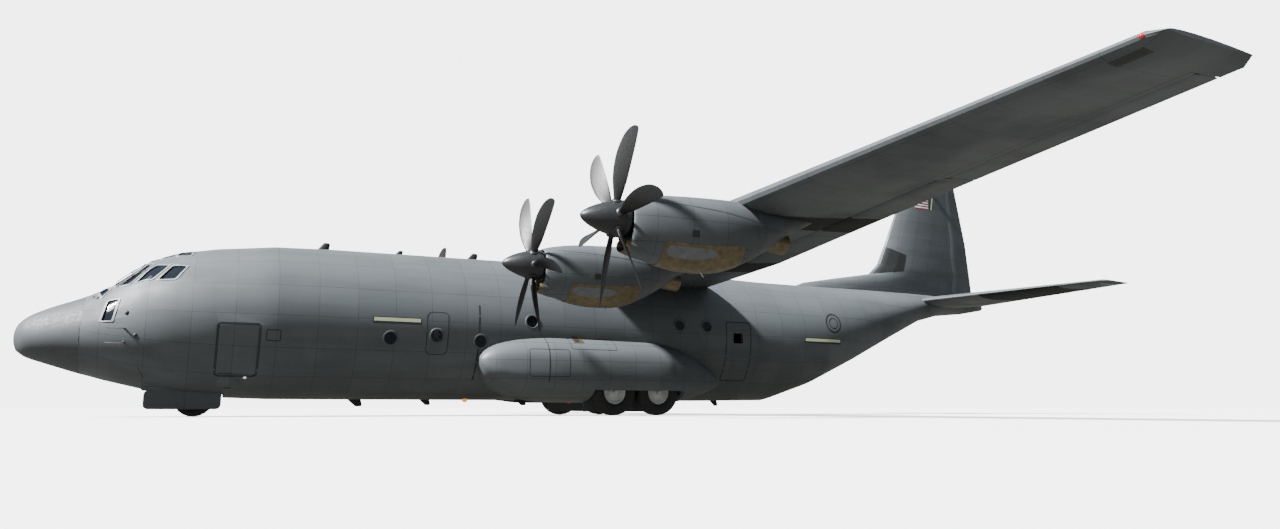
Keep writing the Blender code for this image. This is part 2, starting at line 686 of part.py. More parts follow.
def make_flaps(paint):
    for side, side_name in SIDES:
        spans = {"inner": (FLAP_ROOT, FLAP_SPLIT - 0.01), "outer": (FLAP_SPLIT + 0.01, AILERON_RIB[0])}
        for part, (low, high) in spans.items():
            first = low + (MOVING_GAP if part == "inner" else 0.0)
            last = high - (MOVING_GAP if part == "outer" else 0.0)
            rings = []
            stops = [first] + ([WING_KINK] if part == "inner" else []) + [last]
            for y in stops:
                _, chord, _, _, thickness = wing_row(y)
                hinge = FLAP_NOSE + foil_half(0.76, thickness)
                rings.append(wing_place(side * y, moving_outline(chord, thickness, hinge)))
            middle = (low + high) / 2
            pivot = flap_pivot(middle)
            origin = (pivot[0], side * middle, pivot[1])
            flap = add_object(f"flap_{part}_{side_name}", loft(rings), paint, origin)
            wall = low if part == "inner" else high
            inside = wall + (0.10 if part == "inner" else -0.10)
            start = wall + (JOINT_GAP if part == "inner" else -JOINT_GAP)
            x, _, z = wing_place(side * wall, [(wing_row(wall)[1] * 0.79, 0.0)])[0]
            pin = hinge_pin((x, side * start, z), (x, side * inside, z), 0.03)
            boolean(flap, cutter(f"flap_roller_{part}_{side_name}", pin), "UNION")


def nacelle_ring(row, y, z):
    x, above, below, half = row
    ring = []
    for i in range(NACELLE_SIDES):
        turn = 2 * math.pi * (i + 0.5) / NACELLE_SIDES
        c, s = math.cos(turn), math.sin(turn)
        power = 2 / NACELLE_ROUNDNESS
        reach = above if s > 0 else -below
        ring.append((x, y + math.copysign(half * abs(c) ** power, c), z + reach * abs(s) ** power))
    return ring


def make_engines(paint, metal, blade_black):
    for side, side_name in SIDES:
        for part, (y, z) in zip(("inner", "outer"), ENGINES):
            name = f"{side_name}_{part}"
            y *= side
            rings = [nacelle_ring(row, y, z) for row in NACELLE]
            nacelle = add_object(f"nacelle_{name}", loft(rings), paint)
            seat = wing_centre(2 * JOINT_GAP) if part == "inner" else wing_outer(side, 2 * JOINT_GAP)
            boolean(nacelle, cutter(f"nacelle_seat_{name}", seat))
            bay = rod((12.0, y, z), (ENGINE[1] + JOINT_GAP, y, z), BAY_RADIUS, 16)
            boolean(nacelle, cutter(f"engine_bay_{name}", bay))
            mouth = rod((12.1, y, z - 0.52), (12.8, y, z - 0.55), 0.13, 10)
            boolean(nacelle, cutter(f"intake_{name}", mouth))
            front, back, radius = ENGINE
            flange = BAY_RADIUS - 0.001
            profile = ((SHAFT[0], 0.0), SHAFT, (front, SHAFT[1] + 0.04), (front, radius),
                       (back - 0.03, radius), (back - 0.03, flange), (back, flange), (back, 0.0))
            add_object(f"engine_{name}", turned(profile, (0, y, z), (1, 0, 0), 16), metal)
            make_propeller(name, y, z, blade_black)


def blade_mesh(y, z, turn):
    """One broad curved blade, from inside the spinner to its tip, leaning back as it goes out."""
    rings = []
    for reach, chord, thick, pitch, sweep in BLADE_ROWS:
        ring = []
        angle = math.radians(pitch)
        for along, across in BLADE_SECTION:
            a, b = along * chord + sweep, across * thick
            tangent = a * math.cos(angle) - b * math.sin(angle)
            back = a * math.sin(angle) + b * math.cos(angle)
            out = Vector((0.0, math.cos(turn), math.sin(turn)))
            side = Vector((0.0, -math.sin(turn), math.cos(turn)))
            point = out * reach + side * tangent
            ring.append((BLADE_AXIS + back, y + point.y, z + point.z))
        rings.append(ring)
    return loft(rings)


def make_propeller(name, y, z, black):
    back = SHAFT[0] - JOINT_GAP
    spinner = turned(SPINNER + ((back, 0.42), (back, 0.0)), (0, y, z), (1, 0, 0), 18)
    prop = add_object(f"propeller_{name}", spinner, black, (BLADE_AXIS, y, z))
    for n in range(BLADES):
        turn = math.radians(90 + BLADE_PHASE[name] + 360 * n / BLADES)
        boolean(prop, cutter(f"blade_{name}_{n}", blade_mesh(y, z, turn)), "UNION")


def fin_row(z):
    """Leading edge, chord and thickness share of fin and rudder at a height."""
    lead, trail = between(FIN, z)
    chord = trail - lead
    return lead, chord, FIN_THICKNESS * min(chord, FIN_FULL_CHORD) / chord


def fin_ring(z, cut_x, whole):
    lead, chord, thickness = fin_row(z)
    points = foil_outline(chord, thickness, (cut_x - lead) / chord, whole)
    return [(lead + along, across, z) for along, across in points]


def rudder_ring(z):
    lead, chord, thickness = fin_row(z)
    points = moving_outline(chord, thickness, (RUDDER_HINGE - lead) / chord)
    return [(lead + along, across, z) for along, across in points]


def fin_cut(z):
    """Where the fixed fin ends ahead of the rudder's round nose."""
    lead, chord, thickness = fin_row(z)
    return RUDDER_HINGE - foil_half((RUDDER_HINGE - lead) / chord, thickness) * chord - REAR_GAP


def make_fin(paint):
    low, high = RUDDER
    levels = [(row[0], False) for row in FIN if row[0] < high]
    levels += [(high, False), (high, True)] + [(row[0], True) for row in FIN if row[0] > high + 0.02]
    rings = [fin_ring(z, fin_cut(min(z, high)), whole) for z, whole in levels]
    lead, trail = FIN[-1][1], FIN[-1][2]
    middle = (lead + trail) / 2
    rings[-1] = [(middle + (x - middle) * 0.9, y * 0.3, z) for x, y, z in rings[-1]]
    fin = add_object("fin", loft(rings), paint)
    boolean(fin, cutter("fin_seat", hull_solid(BARREL_END, LENGTH, -0.002)))
    rings = []
    for z in FIN_HOLLOW:
        lead, chord, thickness = fin_row(z)
        outline = hollow_outline(chord, thickness, (fin_cut(z) - lead) / chord, FIN_WALL)
        rings.append([(lead + along, across, z) for along, across in outline])
    boolean(fin, cutter("fin_hollow", loft(rings)))
    rings = [rudder_ring(z) for z in (low, 5.60, 7.20, high - REAR_GAP)]
    rudder = add_object("rudder", loft(rings), paint, (RUDDER_HINGE, 0.0, low))
    foot = between(HULL, RUDDER_HINGE)[1] + JOINT_GAP * 2
    for name, start, end in (("low", foot, low + 0.1), ("top", high - JOINT_GAP, high - 0.12)):
        pin = hinge_pin((RUDDER_HINGE, 0, start), (RUDDER_HINGE, 0, end))
        boolean(rudder, cutter(f"rudder_pin_{name}", pin), "UNION")


def tail_row(y):
    lead, trail = between(STABILISER, abs(y)) if abs(y) > 0 else STABILISER[0][1:]
    return lead, trail - lead, 0.115 - 0.003 * abs(y)


def elevator_cut(y):
    """Where the fixed stabiliser ends ahead of the elevator's round nose."""
    lead, chord, thickness = tail_row(y)
    return ELEVATOR_HINGE - foil_half((ELEVATOR_HINGE - lead) / chord, thickness) * chord - REAR_GAP


def tail_ring(y, whole, grow=0.0, thin=1.0):
    lead, chord, thickness = tail_row(y)
    points = foil_outline(chord, thickness, (elevator_cut(y) - lead) / chord, whole, grow)
    return [(lead + along, y, STABILISER_HEIGHT + across * thin) for along, across in points]


def stabiliser_cutter():
    return cutter("stabiliser_opening", loft([tail_ring(y, True, 0.0012) for y in (-1.6, 0.0, 1.6)]))


def make_stabiliser(paint):
    low, high = ELEVATOR
    wall = low - 0.04
    tip = STABILISER[-1][0]
    last = high + 0.04
    outboard = ((wall, True), (wall, False), (last, False), (last, True),
                (STABILISER[-2][0], True), (tip, True))
    rows = [(-y, whole) for y, whole in reversed(outboard)] + [(0.0, True)] + list(outboard)
    rings = [tail_ring(y, whole, thin=0.3 if abs(y) == tip else 1.0) for y, whole in rows]
    stabiliser = add_object("stabiliser", loft(rings), paint)
    height = STABILISER_HEIGHT
    for side, name in SIDES:
        rings = []
        for y in (low + 0.2, high - 0.2):
            lead, chord, thickness = tail_row(y)
            cut_x = elevator_cut(y)
            outline = hollow_outline(chord, thickness, (cut_x - lead) / chord, FIN_WALL * 0.7)
            rings.append([(lead + along, side * y, height + across) for along, across in outline])
        boolean(stabiliser, cutter(f"stabiliser_hollow_{name}", loft(rings)))
        rings = []
        for y in (low, high):
            lead, chord, thickness = tail_row(y)
            outline = moving_outline(chord, thickness, (ELEVATOR_HINGE - lead) / chord)
            rings.append([(lead + along, side * y, height + across) for along, across in outline])
        elevator = add_object(f"elevator_{name}", loft(rings), paint, (ELEVATOR_HINGE, 0.0, height))
        x = ELEVATOR_HINGE
        for n, (start, end) in enumerate(((wall + JOINT_GAP, low + 0.1), (high - 0.1, last - JOINT_GAP))):
            pin = hinge_pin((x, side * start, height), (x, side * end, height))
            boolean(elevator, cutter(f"elevator_pin_{name}_{n}", pin), "UNION")


def pod_ring(row, side):
    x, outer, top, bottom = row
    middle, half_height = (top + bottom) / 2, (top - bottom) / 2
    count = 14
    ring = []
    for i in range(count + 1):
        turn = math.radians(-90 + 180 * i / count)
        c, s = math.cos(turn), math.sin(turn)
        power = 2 / 2.8
        ring.append((x, side * (POD_INNER + (outer - POD_INNER) * abs(c) ** power),
                     middle + math.copysign(half_height * abs(s) ** power, s)))
    return ring


def make_pods(paint):
    for side, name in SIDES:
        pod = add_object(f"gear_pod_{name}", loft([pod_ring(row, side) for row in POD]), paint)
        boolean(pod, cutter(f"pod_seat_{name}", hull_solid(11.0, 20.2, -0.0012)))
        front, back, inner, outer, roof = MAIN_BAY
        low, high = both_sides((front, inner, 0.0), (back, outer, roof))[side]
        boolean(pod, cutter(f"wheel_bay_{name}", box(low, high)))


def make_main_gear(metal, paint):
    front, back, inner, _, _ = MAIN_BAY
    for side, name in SIDES:
        low, high = both_sides((front + JOINT_GAP, 1.725, 1.00), (back - JOINT_GAP, 1.86, 1.13))[side]
        frame = add_object(f"main_gear_frame_{name}", box(low, high), metal)
        for n, x in enumerate(MAIN_WHEELS):
            leg = rod((x, side * 1.79, 0.60), (x, side * 1.79, 1.06), 0.066, 16)
            axle = rod((x, side * 1.73, MAIN_TYRE[0]), (x, side * 2.44, MAIN_TYRE[0]), AXLE_RADIUS, 16)
            boolean(frame, cutter(f"main_leg_{name}_{n}", leg), "UNION")
            boolean(frame, cutter(f"main_axle_{name}_{n}", axle), "UNION")
        low, high = both_sides((front + 0.1, 1.49, 0.12), (back - 0.1, 1.53, 0.62))[side]
        door = add_object(f"main_gear_door_{name}", box(low, high), paint)
        rings = [pod_ring((x, o + 0.002, t + 0.002, b - 0.0012), side) for x, o, t, b in POD]
        boolean(door, cutter(f"main_door_seat_{name}", loft(rings)))


def wheel_profile(radius, width, rim):
    """A tyre with its hub and bore as one turned ring, from one bore end round to the other."""
    half = width / 2
    return (
        (-half * 0.5, BORE_RADIUS), (-half * 0.5, rim * 0.85), (-half * 0.85, rim),
        (-half, (rim + radius) / 2), (-half * 0.82, radius * 0.95), (-half * 0.4, radius),
        (half * 0.4, radius), (half * 0.82, radius * 0.95), (half, (rim + radius) / 2),
        (half * 0.85, rim), (half * 0.5, rim * 0.85), (half * 0.5, BORE_RADIUS),
        (-half * 0.5, BORE_RADIUS),
    )


def make_wheels(rubber):
    radius, width = MAIN_TYRE
    for side, name in SIDES:
        for end, x in zip(("front", "rear"), MAIN_WHEELS):
            centre = (x, side * TRACK_HALF, radius)
            wheel = turned(wheel_profile(radius, width, MAIN_RIM), centre, (0, 1, 0), WHEEL_SIDES)
            add_object(f"main_wheel_{name}_{end}", wheel, rubber, centre)
    radius, width = NOSE_TYRE
    for side, name in SIDES:
        centre = (NOSE_WHEEL_X, side * NOSE_WHEEL_Y, radius)
        wheel = turned(wheel_profile(radius, width, NOSE_RIM), centre, (0, 1, 0), WHEEL_SIDES)
        add_object(f"nose_wheel_{name}", wheel, rubber, centre)


def make_nose_gear(metal, paint):
    front, back, half, bottom, roof = NOSE_BAY
    g, w = JOINT_GAP, BAY_WALL
    outside = box((front + g, -half + g, bottom), (back - g, half - g, roof - g))
    inside = box((front + w, -half + w, 0.0), (back - w, half - w, roof - w))
    bay = add_object("nose_gear_bay", outside, paint)
    boolean(bay, cutter("nose_bay_hollow", inside))
    x, radius = NOSE_WHEEL_X, NOSE_TYRE[0]
    leg = rod((x, 0, NOSE_STRUT[0]), (x, 0, roof - w - g), NOSE_STRUT[1], 20)
    strut = add_object("nose_strut", leg, metal)
    brace = rod((x, 0, 1.35), (front + 0.25, 0, 1.49), 0.05, 12)
    boolean(strut, cutter("nose_brace", brace), "UNION")
    stem = rod((x, 0, radius - 0.09), (x, 0, NOSE_STRUT[0] - g), NOSE_FORK_RADIUS, 20)
    fork = add_object("nose_fork", stem, metal, (x, 0, radius))
    reach = NOSE_WHEEL_Y + NOSE_TYRE[1] / 2 - 0.05
    axle = rod((x, -reach, radius), (x, reach, radius), AXLE_RADIUS, 16)
    boolean(fork, cutter("nose_axle", axle), "UNION")
    for side, name in SIDES:
        low = (front + 0.06, half - 0.04, NOSE_DOOR_FOOT)
        low, high = both_sides(low, (back - 0.06, half - 0.005, bottom - g))[side]
        add_object(f"nose_gear_door_{name}", box(low, high), paint)


def main():
    clear_scene()
    paint = material("blue_grey_paint", (0.33, 0.40, 0.45), 0.6)
    dark_paint = material("dark_grey_paint", (0.10, 0.11, 0.12), 0.6)
    floor_paint = material("floor_grey", (0.20, 0.22, 0.23), 0.7)
    metal = material("gear_metal", (0.62, 0.63, 0.64), 0.35, 0.9)
    engine_metal = material("engine_metal", (0.35, 0.34, 0.33), 0.5, 0.9)
    black = material("blade_black", (0.03, 0.03, 0.035), 0.45)
    rubber = material("tyre_rubber", (0.03, 0.03, 0.03), 0.85)
    cloth = material("seat_cloth", (0.16, 0.18, 0.14), 0.9)
    glass = material("cockpit_glass", (0.05, 0.06, 0.07), 0.08)
    make_radome(paint)
    make_cockpit(paint)
    make_crew_door(paint)
    make_barrel(paint)
    make_troop_doors(paint)
    make_tail(paint)
    make_ramp(paint)
    make_cargo_door(paint)
    make_floors(floor_paint)
    make_cockpit_fittings(dark_paint, cloth)
    make_cockpit_glass(glass)
    make_wing(paint)
    make_ailerons(paint)
    make_flaps(paint)
    make_engines(paint, engine_metal, black)
    make_fin(paint)
    make_stabiliser(paint)
    make_pods(paint)
    make_main_gear(metal, paint)
    make_wheels(rubber)
    make_nose_gear(metal, paint)


main()
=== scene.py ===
import json
import math

import bmesh
import bpy
from mathutils import Matrix, Vector
from mathutils.bvhtree import BVHTree


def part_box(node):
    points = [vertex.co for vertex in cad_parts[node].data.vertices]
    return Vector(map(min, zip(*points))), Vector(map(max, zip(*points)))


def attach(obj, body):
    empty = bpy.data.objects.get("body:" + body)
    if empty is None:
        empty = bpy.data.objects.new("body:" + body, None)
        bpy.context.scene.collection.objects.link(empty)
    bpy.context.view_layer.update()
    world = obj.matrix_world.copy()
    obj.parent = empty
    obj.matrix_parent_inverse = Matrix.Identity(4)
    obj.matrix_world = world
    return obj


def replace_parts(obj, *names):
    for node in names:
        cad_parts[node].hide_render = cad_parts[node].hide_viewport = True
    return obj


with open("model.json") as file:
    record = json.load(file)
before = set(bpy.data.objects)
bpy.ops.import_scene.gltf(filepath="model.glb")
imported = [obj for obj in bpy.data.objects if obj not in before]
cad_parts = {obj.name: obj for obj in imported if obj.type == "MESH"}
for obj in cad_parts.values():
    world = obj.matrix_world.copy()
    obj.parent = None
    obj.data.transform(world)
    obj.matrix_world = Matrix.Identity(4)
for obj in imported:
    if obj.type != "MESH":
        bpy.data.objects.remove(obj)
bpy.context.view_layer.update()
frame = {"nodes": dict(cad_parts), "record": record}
cadNodes = frame["nodes"]
print("frame loaded:", len(cadNodes), "nodes")

# the plane's own sizes are written full size here: x aft of the nose tip, y to starboard, z above the ground
plane = {
    "modelScale": 0.5,
    "length": 34.37,
    "hullRadius": 2.1,
}
bothNames = ((-1, "port"), (1, "starboard"))
atEngines = [f"{side}_{part}" for _, side in bothNames for part in ("inner", "outer")]


def place(x, y, z):
    return Vector(((x - plane["length"] / 2) * plane["modelScale"], y * plane["modelScale"],
                   z * plane["modelScale"]))


# small helpers for shader nodes
def addNode(tree, kind, **values):
    node = tree.nodes.new(kind)
    for name, value in values.items():
        setattr(node, name, value)
    return node


def feed(tree, socket, value):
    if isinstance(value, bpy.types.NodeSocket):
        tree.links.new(value, socket)
    else:
        socket.default_value = value


def maths(tree, operation, *values):
    node = addNode(tree, "ShaderNodeMath", operation=operation)
    for socket, value in zip(node.inputs, values):
        feed(tree, socket, value)
    return node.outputs[0]


def times(tree, a, b):
    return maths(tree, "MULTIPLY", a, b)


def plus(tree, a, b):
    return maths(tree, "ADD", a, b)


def minus(tree, a, b):
    return maths(tree, "SUBTRACT", a, b)


def ramp(tree, value, low, high, start=0.0, end=1.0):
    node = addNode(tree, "ShaderNodeMapRange", interpolation_type="SMOOTHSTEP")
    for socket, number in zip(node.inputs, (value, low, high, start, end)):
        feed(tree, socket, number)
    return node.outputs[0]


def mixColour(tree, factor, first, second, blend="MIX"):
    node = addNode(tree, "ShaderNodeMix", data_type="RGBA", blend_type=blend)
    for socket, value in zip((node.inputs[0], node.inputs[6], node.inputs[7]), (factor, first, second)):
        if isinstance(value, tuple) and len(value) == 3:
            value = (*value, 1.0)
        feed(tree, socket, value)
    return node.outputs[2]


def fedNode(tree, kind, *values, **settings):
    node = addNode(tree, kind, **settings)
    for socket, value in zip(node.inputs, values):
        if value is not None:
            feed(tree, socket, value)
    return node.outputs


def splitPosition(tree, position):
    return tuple(fedNode(tree, "ShaderNodeSeparateXYZ", position))


def noiseAt(tree, position, scale, detail, roughness=0.55):
    node = addNode(tree, "ShaderNodeTexNoise")
    feed(tree, node.inputs["Vector"], position)
    node.inputs["Scale"].default_value = scale
    node.inputs["Detail"].default_value = detail
    node.inputs["Roughness"].default_value = roughness
    return node.outputs[0]


def makeGroup(name, inputs, outputs):
    tree = bpy.data.node_groups.new(name, "ShaderNodeTree")
    for socketName, kind, value in inputs:
        socket = tree.interface.new_socket(socketName, in_out="INPUT", socket_type=kind)
        if value is not None:
            socket.default_value = value
    for socketName, kind in outputs:
        tree.interface.new_socket(socketName, in_out="OUTPUT", socket_type=kind)
    return tree, addNode(tree, "NodeGroupInput").outputs, addNode(tree, "NodeGroupOutput").inputs


floatKind, vectorKind = "NodeSocketFloat", "NodeSocketVector"


def buildSeamGrid():
    # panel joints: thin lines every so far along x, and every so far across
    tree, given, result = makeGroup("seamGrid", [
        ("Along", floatKind, 0.0), ("Across", floatKind, 0.0), ("Step Along", floatKind, 0.5),
        ("Step Across", floatKind, 0.3), ("Width", floatKind, 0.003)],
        [("Seam", floatKind), ("Panel", floatKind)])
    masks, cells = [], []
    for value, step in ((given["Along"], given["Step Along"]), (given["Across"], given["Step Across"])):
        away = maths(tree, "PINGPONG", value, times(tree, step, 0.5))
        masks.append(ramp(tree, away, times(tree, given["Width"], 0.4), given["Width"], 1.0, 0.0))
        cells.append(maths(tree, "FLOOR", maths(tree, "DIVIDE", value, step)))
    feed(tree, result["Seam"], maths(tree, "MAXIMUM", *masks))
    cell = fedNode(tree, "ShaderNodeCombineXYZ", *cells)[0]
    shade = fedNode(tree, "ShaderNodeTexWhiteNoise", cell, noise_dimensions="3D")
    feed(tree, result["Panel"], shade["Value"])
    return tree


def buildWeather():
    # streaks along the airflow, soft stains, and fine grain
    tree, given, result = makeGroup("weather", [
        ("Position", vectorKind, None), ("Streak Scale", floatKind, 3.0), ("Stain Scale", floatKind, 1.2)],
        [("Streaks", floatKind), ("Stains", floatKind), ("Grain", floatKind)])
    stretched = fedNode(tree, "ShaderNodeVectorMath", given["Position"], (0.22, 1.6, 1.6),
                        operation="MULTIPLY")[0]
    for name, source, scale, detail, low, high in (
            ("Streaks", stretched, given["Streak Scale"], 6.0, 0.42, 0.72),
            ("Stains", given["Position"], given["Stain Scale"], 5.0, 0.38, 0.70),
            ("Grain", given["Position"], 180.0, 3.0, 0.25, 0.75)):
        node = addNode(tree, "ShaderNodeTexNoise")
        feed(tree, node.inputs["Vector"], source)
        feed(tree, node.inputs["Scale"], scale)
        node.inputs["Detail"].default_value = detail
        feed(tree, result[name], ramp(tree, node.outputs[0], low, high))
    return tree


def buildRivets():
    # rows of small heads on both sides of the panel joints
    tree, given, result = makeGroup("rivetRows", [
        ("Along", floatKind, 0.0), ("Across", floatKind, 0.0), ("Step Along", floatKind, 0.5),
        ("Step Across", floatKind, 0.3), ("Pitch", floatKind, 0.02), ("Head", floatKind, 0.003)],
        [("Rivet", floatKind)])
    rows = []
    for value, other, step in ((given["Along"], given["Across"], given["Step Along"]),
                               (given["Across"], given["Along"], given["Step Across"])):
        toJoint = maths(tree, "PINGPONG", value, times(tree, step, 0.5))
        toRow = minus(tree, toJoint, times(tree, given["Head"], 3.0))
        toHead = maths(tree, "PINGPONG", other, times(tree, given["Pitch"], 0.5))
        away = maths(tree, "SQRT", plus(tree, times(tree, toRow, toRow),
                                         times(tree, toHead, toHead)))
        rows.append(ramp(tree, away, times(tree, given["Head"], 0.4), given["Head"], 1.0, 0.0))
    feed(tree, result["Rivet"], maths(tree, "MAXIMUM", *rows))
    return tree


sharedGroups = {"seams": buildSeamGrid(), "weather": buildWeather(), "rivets": buildRivets()}


def useGroup(tree, name, **values):
    node = addNode(tree, "ShaderNodeGroup", node_tree=sharedGroups[name])
    for socketName, value in values.items():
        feed(tree, node.inputs[socketName.replace("_", " ")], value)
    return node.outputs


def startMaterial(name, roughness=0.5, metallic=0.0):
    material = bpy.data.materials.new(name)
    material.use_nodes = True
    tree = material.node_tree
    shader = tree.nodes["Principled BSDF"]
    shader.inputs["Roughness"].default_value = roughness
    shader.inputs["Metallic"].default_value = metallic
    position = addNode(tree, "ShaderNodeTexCoord").outputs["Object"]
    return material, tree, shader, position


def barrelNormal(tree, position):
    # the barrel is round: its own facets are shaded by the true circle, where they face nearly that way
    x, y, z = splitPosition(tree, position)
    rise = minus(tree, z, barrel["middle"])
    squeeze = ramp(tree, rise, -0.05, 0.05, 1.0, barrel["squeeze"])
    ring = fedNode(tree, "ShaderNodeCombineXYZ", None, y, times(tree, rise, squeeze))[0]
    unit = fedNode(tree, "ShaderNodeVectorMath", ring, operation="NORMALIZE")[0]
    own = addNode(tree, "ShaderNodeTexCoord").outputs["Normal"]
    facing = fedNode(tree, "ShaderNodeVectorMath", own, unit, operation="DOT_PRODUCT")["Value"]
    near = ramp(tree, facing, *barrel["facing"])
    within = times(tree, ramp(tree, x, *barrel["front"]), ramp(tree, x, *barrel["back"], 1.0, 0.0))
    share = times(tree, near, within)
    blend = addNode(tree, "ShaderNodeMix", data_type="VECTOR")
    feed(tree, blend.inputs["Factor"], share)
    feed(tree, blend.inputs[4], own)
    feed(tree, blend.inputs[5], unit)
    return fedNode(tree, "ShaderNodeVectorTransform", blend.outputs[1], vector_type="NORMAL",
                   convert_from="OBJECT", convert_to="WORLD")[0]


# model metres: height of the barrel's middle, upper half's stretch, and where its round part fades out
barrel = {
    "middle": 1.33,
    "squeeze": 0.939,
    "front": (-5.9, -5.4),
    "back": (2.35, 2.65),
    "facing": (0.965, 0.985),
}


def addBump(tree, shader, height, strength=0.3, distance=0.002, normal=None):
    bump = addNode(tree, "ShaderNodeBump")
    if normal is not None:
        feed(tree, bump.inputs["Normal"], normal)
    bump.inputs["Strength"].default_value = strength
    bump.inputs["Distance"].default_value = distance
    feed(tree, bump.inputs["Height"], height)
    feed(tree, shader.inputs["Normal"], bump.outputs[0])


paint = {
    "skin": (0.072, 0.082, 0.089),
    "skinLight": (0.090, 0.101, 0.108),
    "skinDark": (0.045, 0.050, 0.053),
    "seam": (0.018, 0.020, 0.021),
    "soot": (0.0045, 0.0045, 0.0055),
    "sootLanes": (2.475, 5.08),
    "sootHalf": 0.235,
    "sootStart": -0.85,
    "seamWidth": 0.0035,
    "roughness": 0.62,
    # distance between panel joints along and across
    "steps": {"hull": (0.508, math.radians(22.5)), "wing": (0.46, 0.42), "fin": (0.36, 0.44),
              "pod": (0.44, 0.27)},
}


def sootMask(tree, x, y):
    # where the exhausts blacken the underside of the wing and flaps
    away = maths(tree, "ABSOLUTE", y)
    lanes = None
    for middle in paint["sootLanes"]:
        offset = maths(tree, "ABSOLUTE", minus(tree, away, middle))
        reach = plus(tree, paint["sootHalf"], times(tree, minus(tree, x, paint["sootStart"]), 0.07))
        lane = ramp(tree, minus(tree, offset, reach), -0.03, 0.012, 1.0, 0.0)
        lanes = lane if lanes is None else maths(tree, "MAXIMUM", lanes, lane)
    lanes = times(tree, lanes, ramp(tree, x, paint["sootStart"], paint["sootStart"] + 0.05))
    normal = addNode(tree, "ShaderNodeTexCoord").outputs["Normal"]
    under = ramp(tree, splitPosition(tree, normal)[2], -0.35, -0.05, 1.0, 0.0)
    return times(tree, times(tree, lanes, under), 0.93)


def paintedSkin(name, kind, paintedLightScale=1.0):
    # matt blue-grey paint. kind says which way its panel joints run: hull, wing, fin or pod. The last
    # argument multiplies the colour: below 1 it paints shade, above 1 it paints light
    material, tree, shader, position = startMaterial(name, paint["roughness"])
    x, y, z = splitPosition(tree, position)
    if kind == "hull":
        turn = maths(tree, "ARCTAN2", minus(tree, z, barrel["middle"]), y)
        along, across = x, turn
    elif kind == "wing":
        along, across = y, plus(tree, x, times(tree, maths(tree, "ABSOLUTE", y), -0.045))
    elif kind == "fin":
        along, across = z, minus(tree, x, times(tree, z, 0.28))
    else:
        along, across = x, z
    grid = dict(zip(("Along", "Across", "Step_Along", "Step_Across"), (along, across, *paint["steps"][kind])))
    seam = useGroup(tree, "seams", **grid, Width=paint["seamWidth"])
    rivet = useGroup(tree, "rivets", **grid, Pitch=0.022, Head=0.0024)
    weather = useGroup(tree, "weather", Position=position, Streak_Scale=2.6, Stain_Scale=0.9)
    colour = mixColour(tree, ramp(tree, seam["Panel"], 0.0, 1.0, 0.15, 0.55), paint["skin"],
                       paint["skinLight"])
    colour = mixColour(tree, times(tree, weather["Streaks"], 0.42), colour, paint["skinDark"])
    colour = mixColour(tree, times(tree, weather["Stains"], 0.22), colour, paint["skinDark"])
    colour = mixColour(tree, times(tree, seam["Seam"], 0.75), colour, paint["seam"])
    # the whole colour multiplied by that factor: painted shade where it is below 1, painted light where it is
    # above 1
    colour = mixColour(tree, 1.0, colour, (paintedLightScale, paintedLightScale, paintedLightScale), "MULTIPLY")
    rough = ramp(tree, weather["Stains"], 0.0, 1.0, 0.52, 0.74)
    if kind == "wing":
        sooty = sootMask(tree, x, y)
        colour = mixColour(tree, sooty, colour, paint["soot"])
        rough = plus(tree, rough, times(tree, sooty, 0.4))
    feed(tree, shader.inputs["Base Color"], colour)
    feed(tree, shader.inputs["Roughness"], rough)
    height = minus(tree, times(tree, rivet["Rivet"], 0.5), seam["Seam"])
    height = plus(tree, height, times(tree, weather["Grain"], 0.06))
    addBump(tree, shader, height, 0.35, 0.0015, barrelNormal(tree, position) if kind == "hull" else None)
    return material


def plainFinish(name, colour, roughness, metallic=0.0, grain=0.10, scale=90.0, bump=0.15, dark=0.6):
    # a finish with fine grain, soft stains and uneven sheen
    material, tree, shader, position = startMaterial(name, roughness, metallic)
    weather = useGroup(tree, "weather", Position=position, Streak_Scale=scale * 0.15,
                       Stain_Scale=scale * 0.08)
    fine = noiseAt(tree, position, scale, 4.0)
    worn = tuple(channel * dark for channel in colour)
    shade = mixColour(tree, times(tree, weather["Stains"], 0.5), colour, worn)
    shade = mixColour(tree, times(tree, fine, grain), shade, worn)
    feed(tree, shader.inputs["Base Color"], shade)
    feed(tree, shader.inputs["Roughness"], ramp(tree, fine, 0.2, 0.8, max(0.02, roughness - 0.1),
                                                min(1.0, roughness + 0.12)))
    addBump(tree, shader, fine, bump, 0.0012)
    return material


def glassFinish(name, colour, alpha=0.35, roughness=0.06):
    material, tree, shader, position = startMaterial(name, roughness)
    shader.inputs["Base Color"].default_value = (*colour, 1.0)
    smear = noiseAt(tree, position, 6.0, 4.0)
    feed(tree, shader.inputs["Roughness"], ramp(tree, smear, 0.3, 0.8, roughness, roughness + 0.10))
    shader.inputs["Alpha"].default_value = alpha
    return material


def lampFinish(name, colour, glow):
    material, tree, shader, position = startMaterial(name, 0.12)
    facets = noiseAt(tree, position, 120.0, 1.0)
    feed(tree, shader.inputs["Base Color"], mixColour(tree, facets, colour, tuple(c * 0.6 for c in colour)))
    shader.inputs["Emission Color"].default_value = (*colour, 1.0)
    shader.inputs["Emission Strength"].default_value = glow
    return material


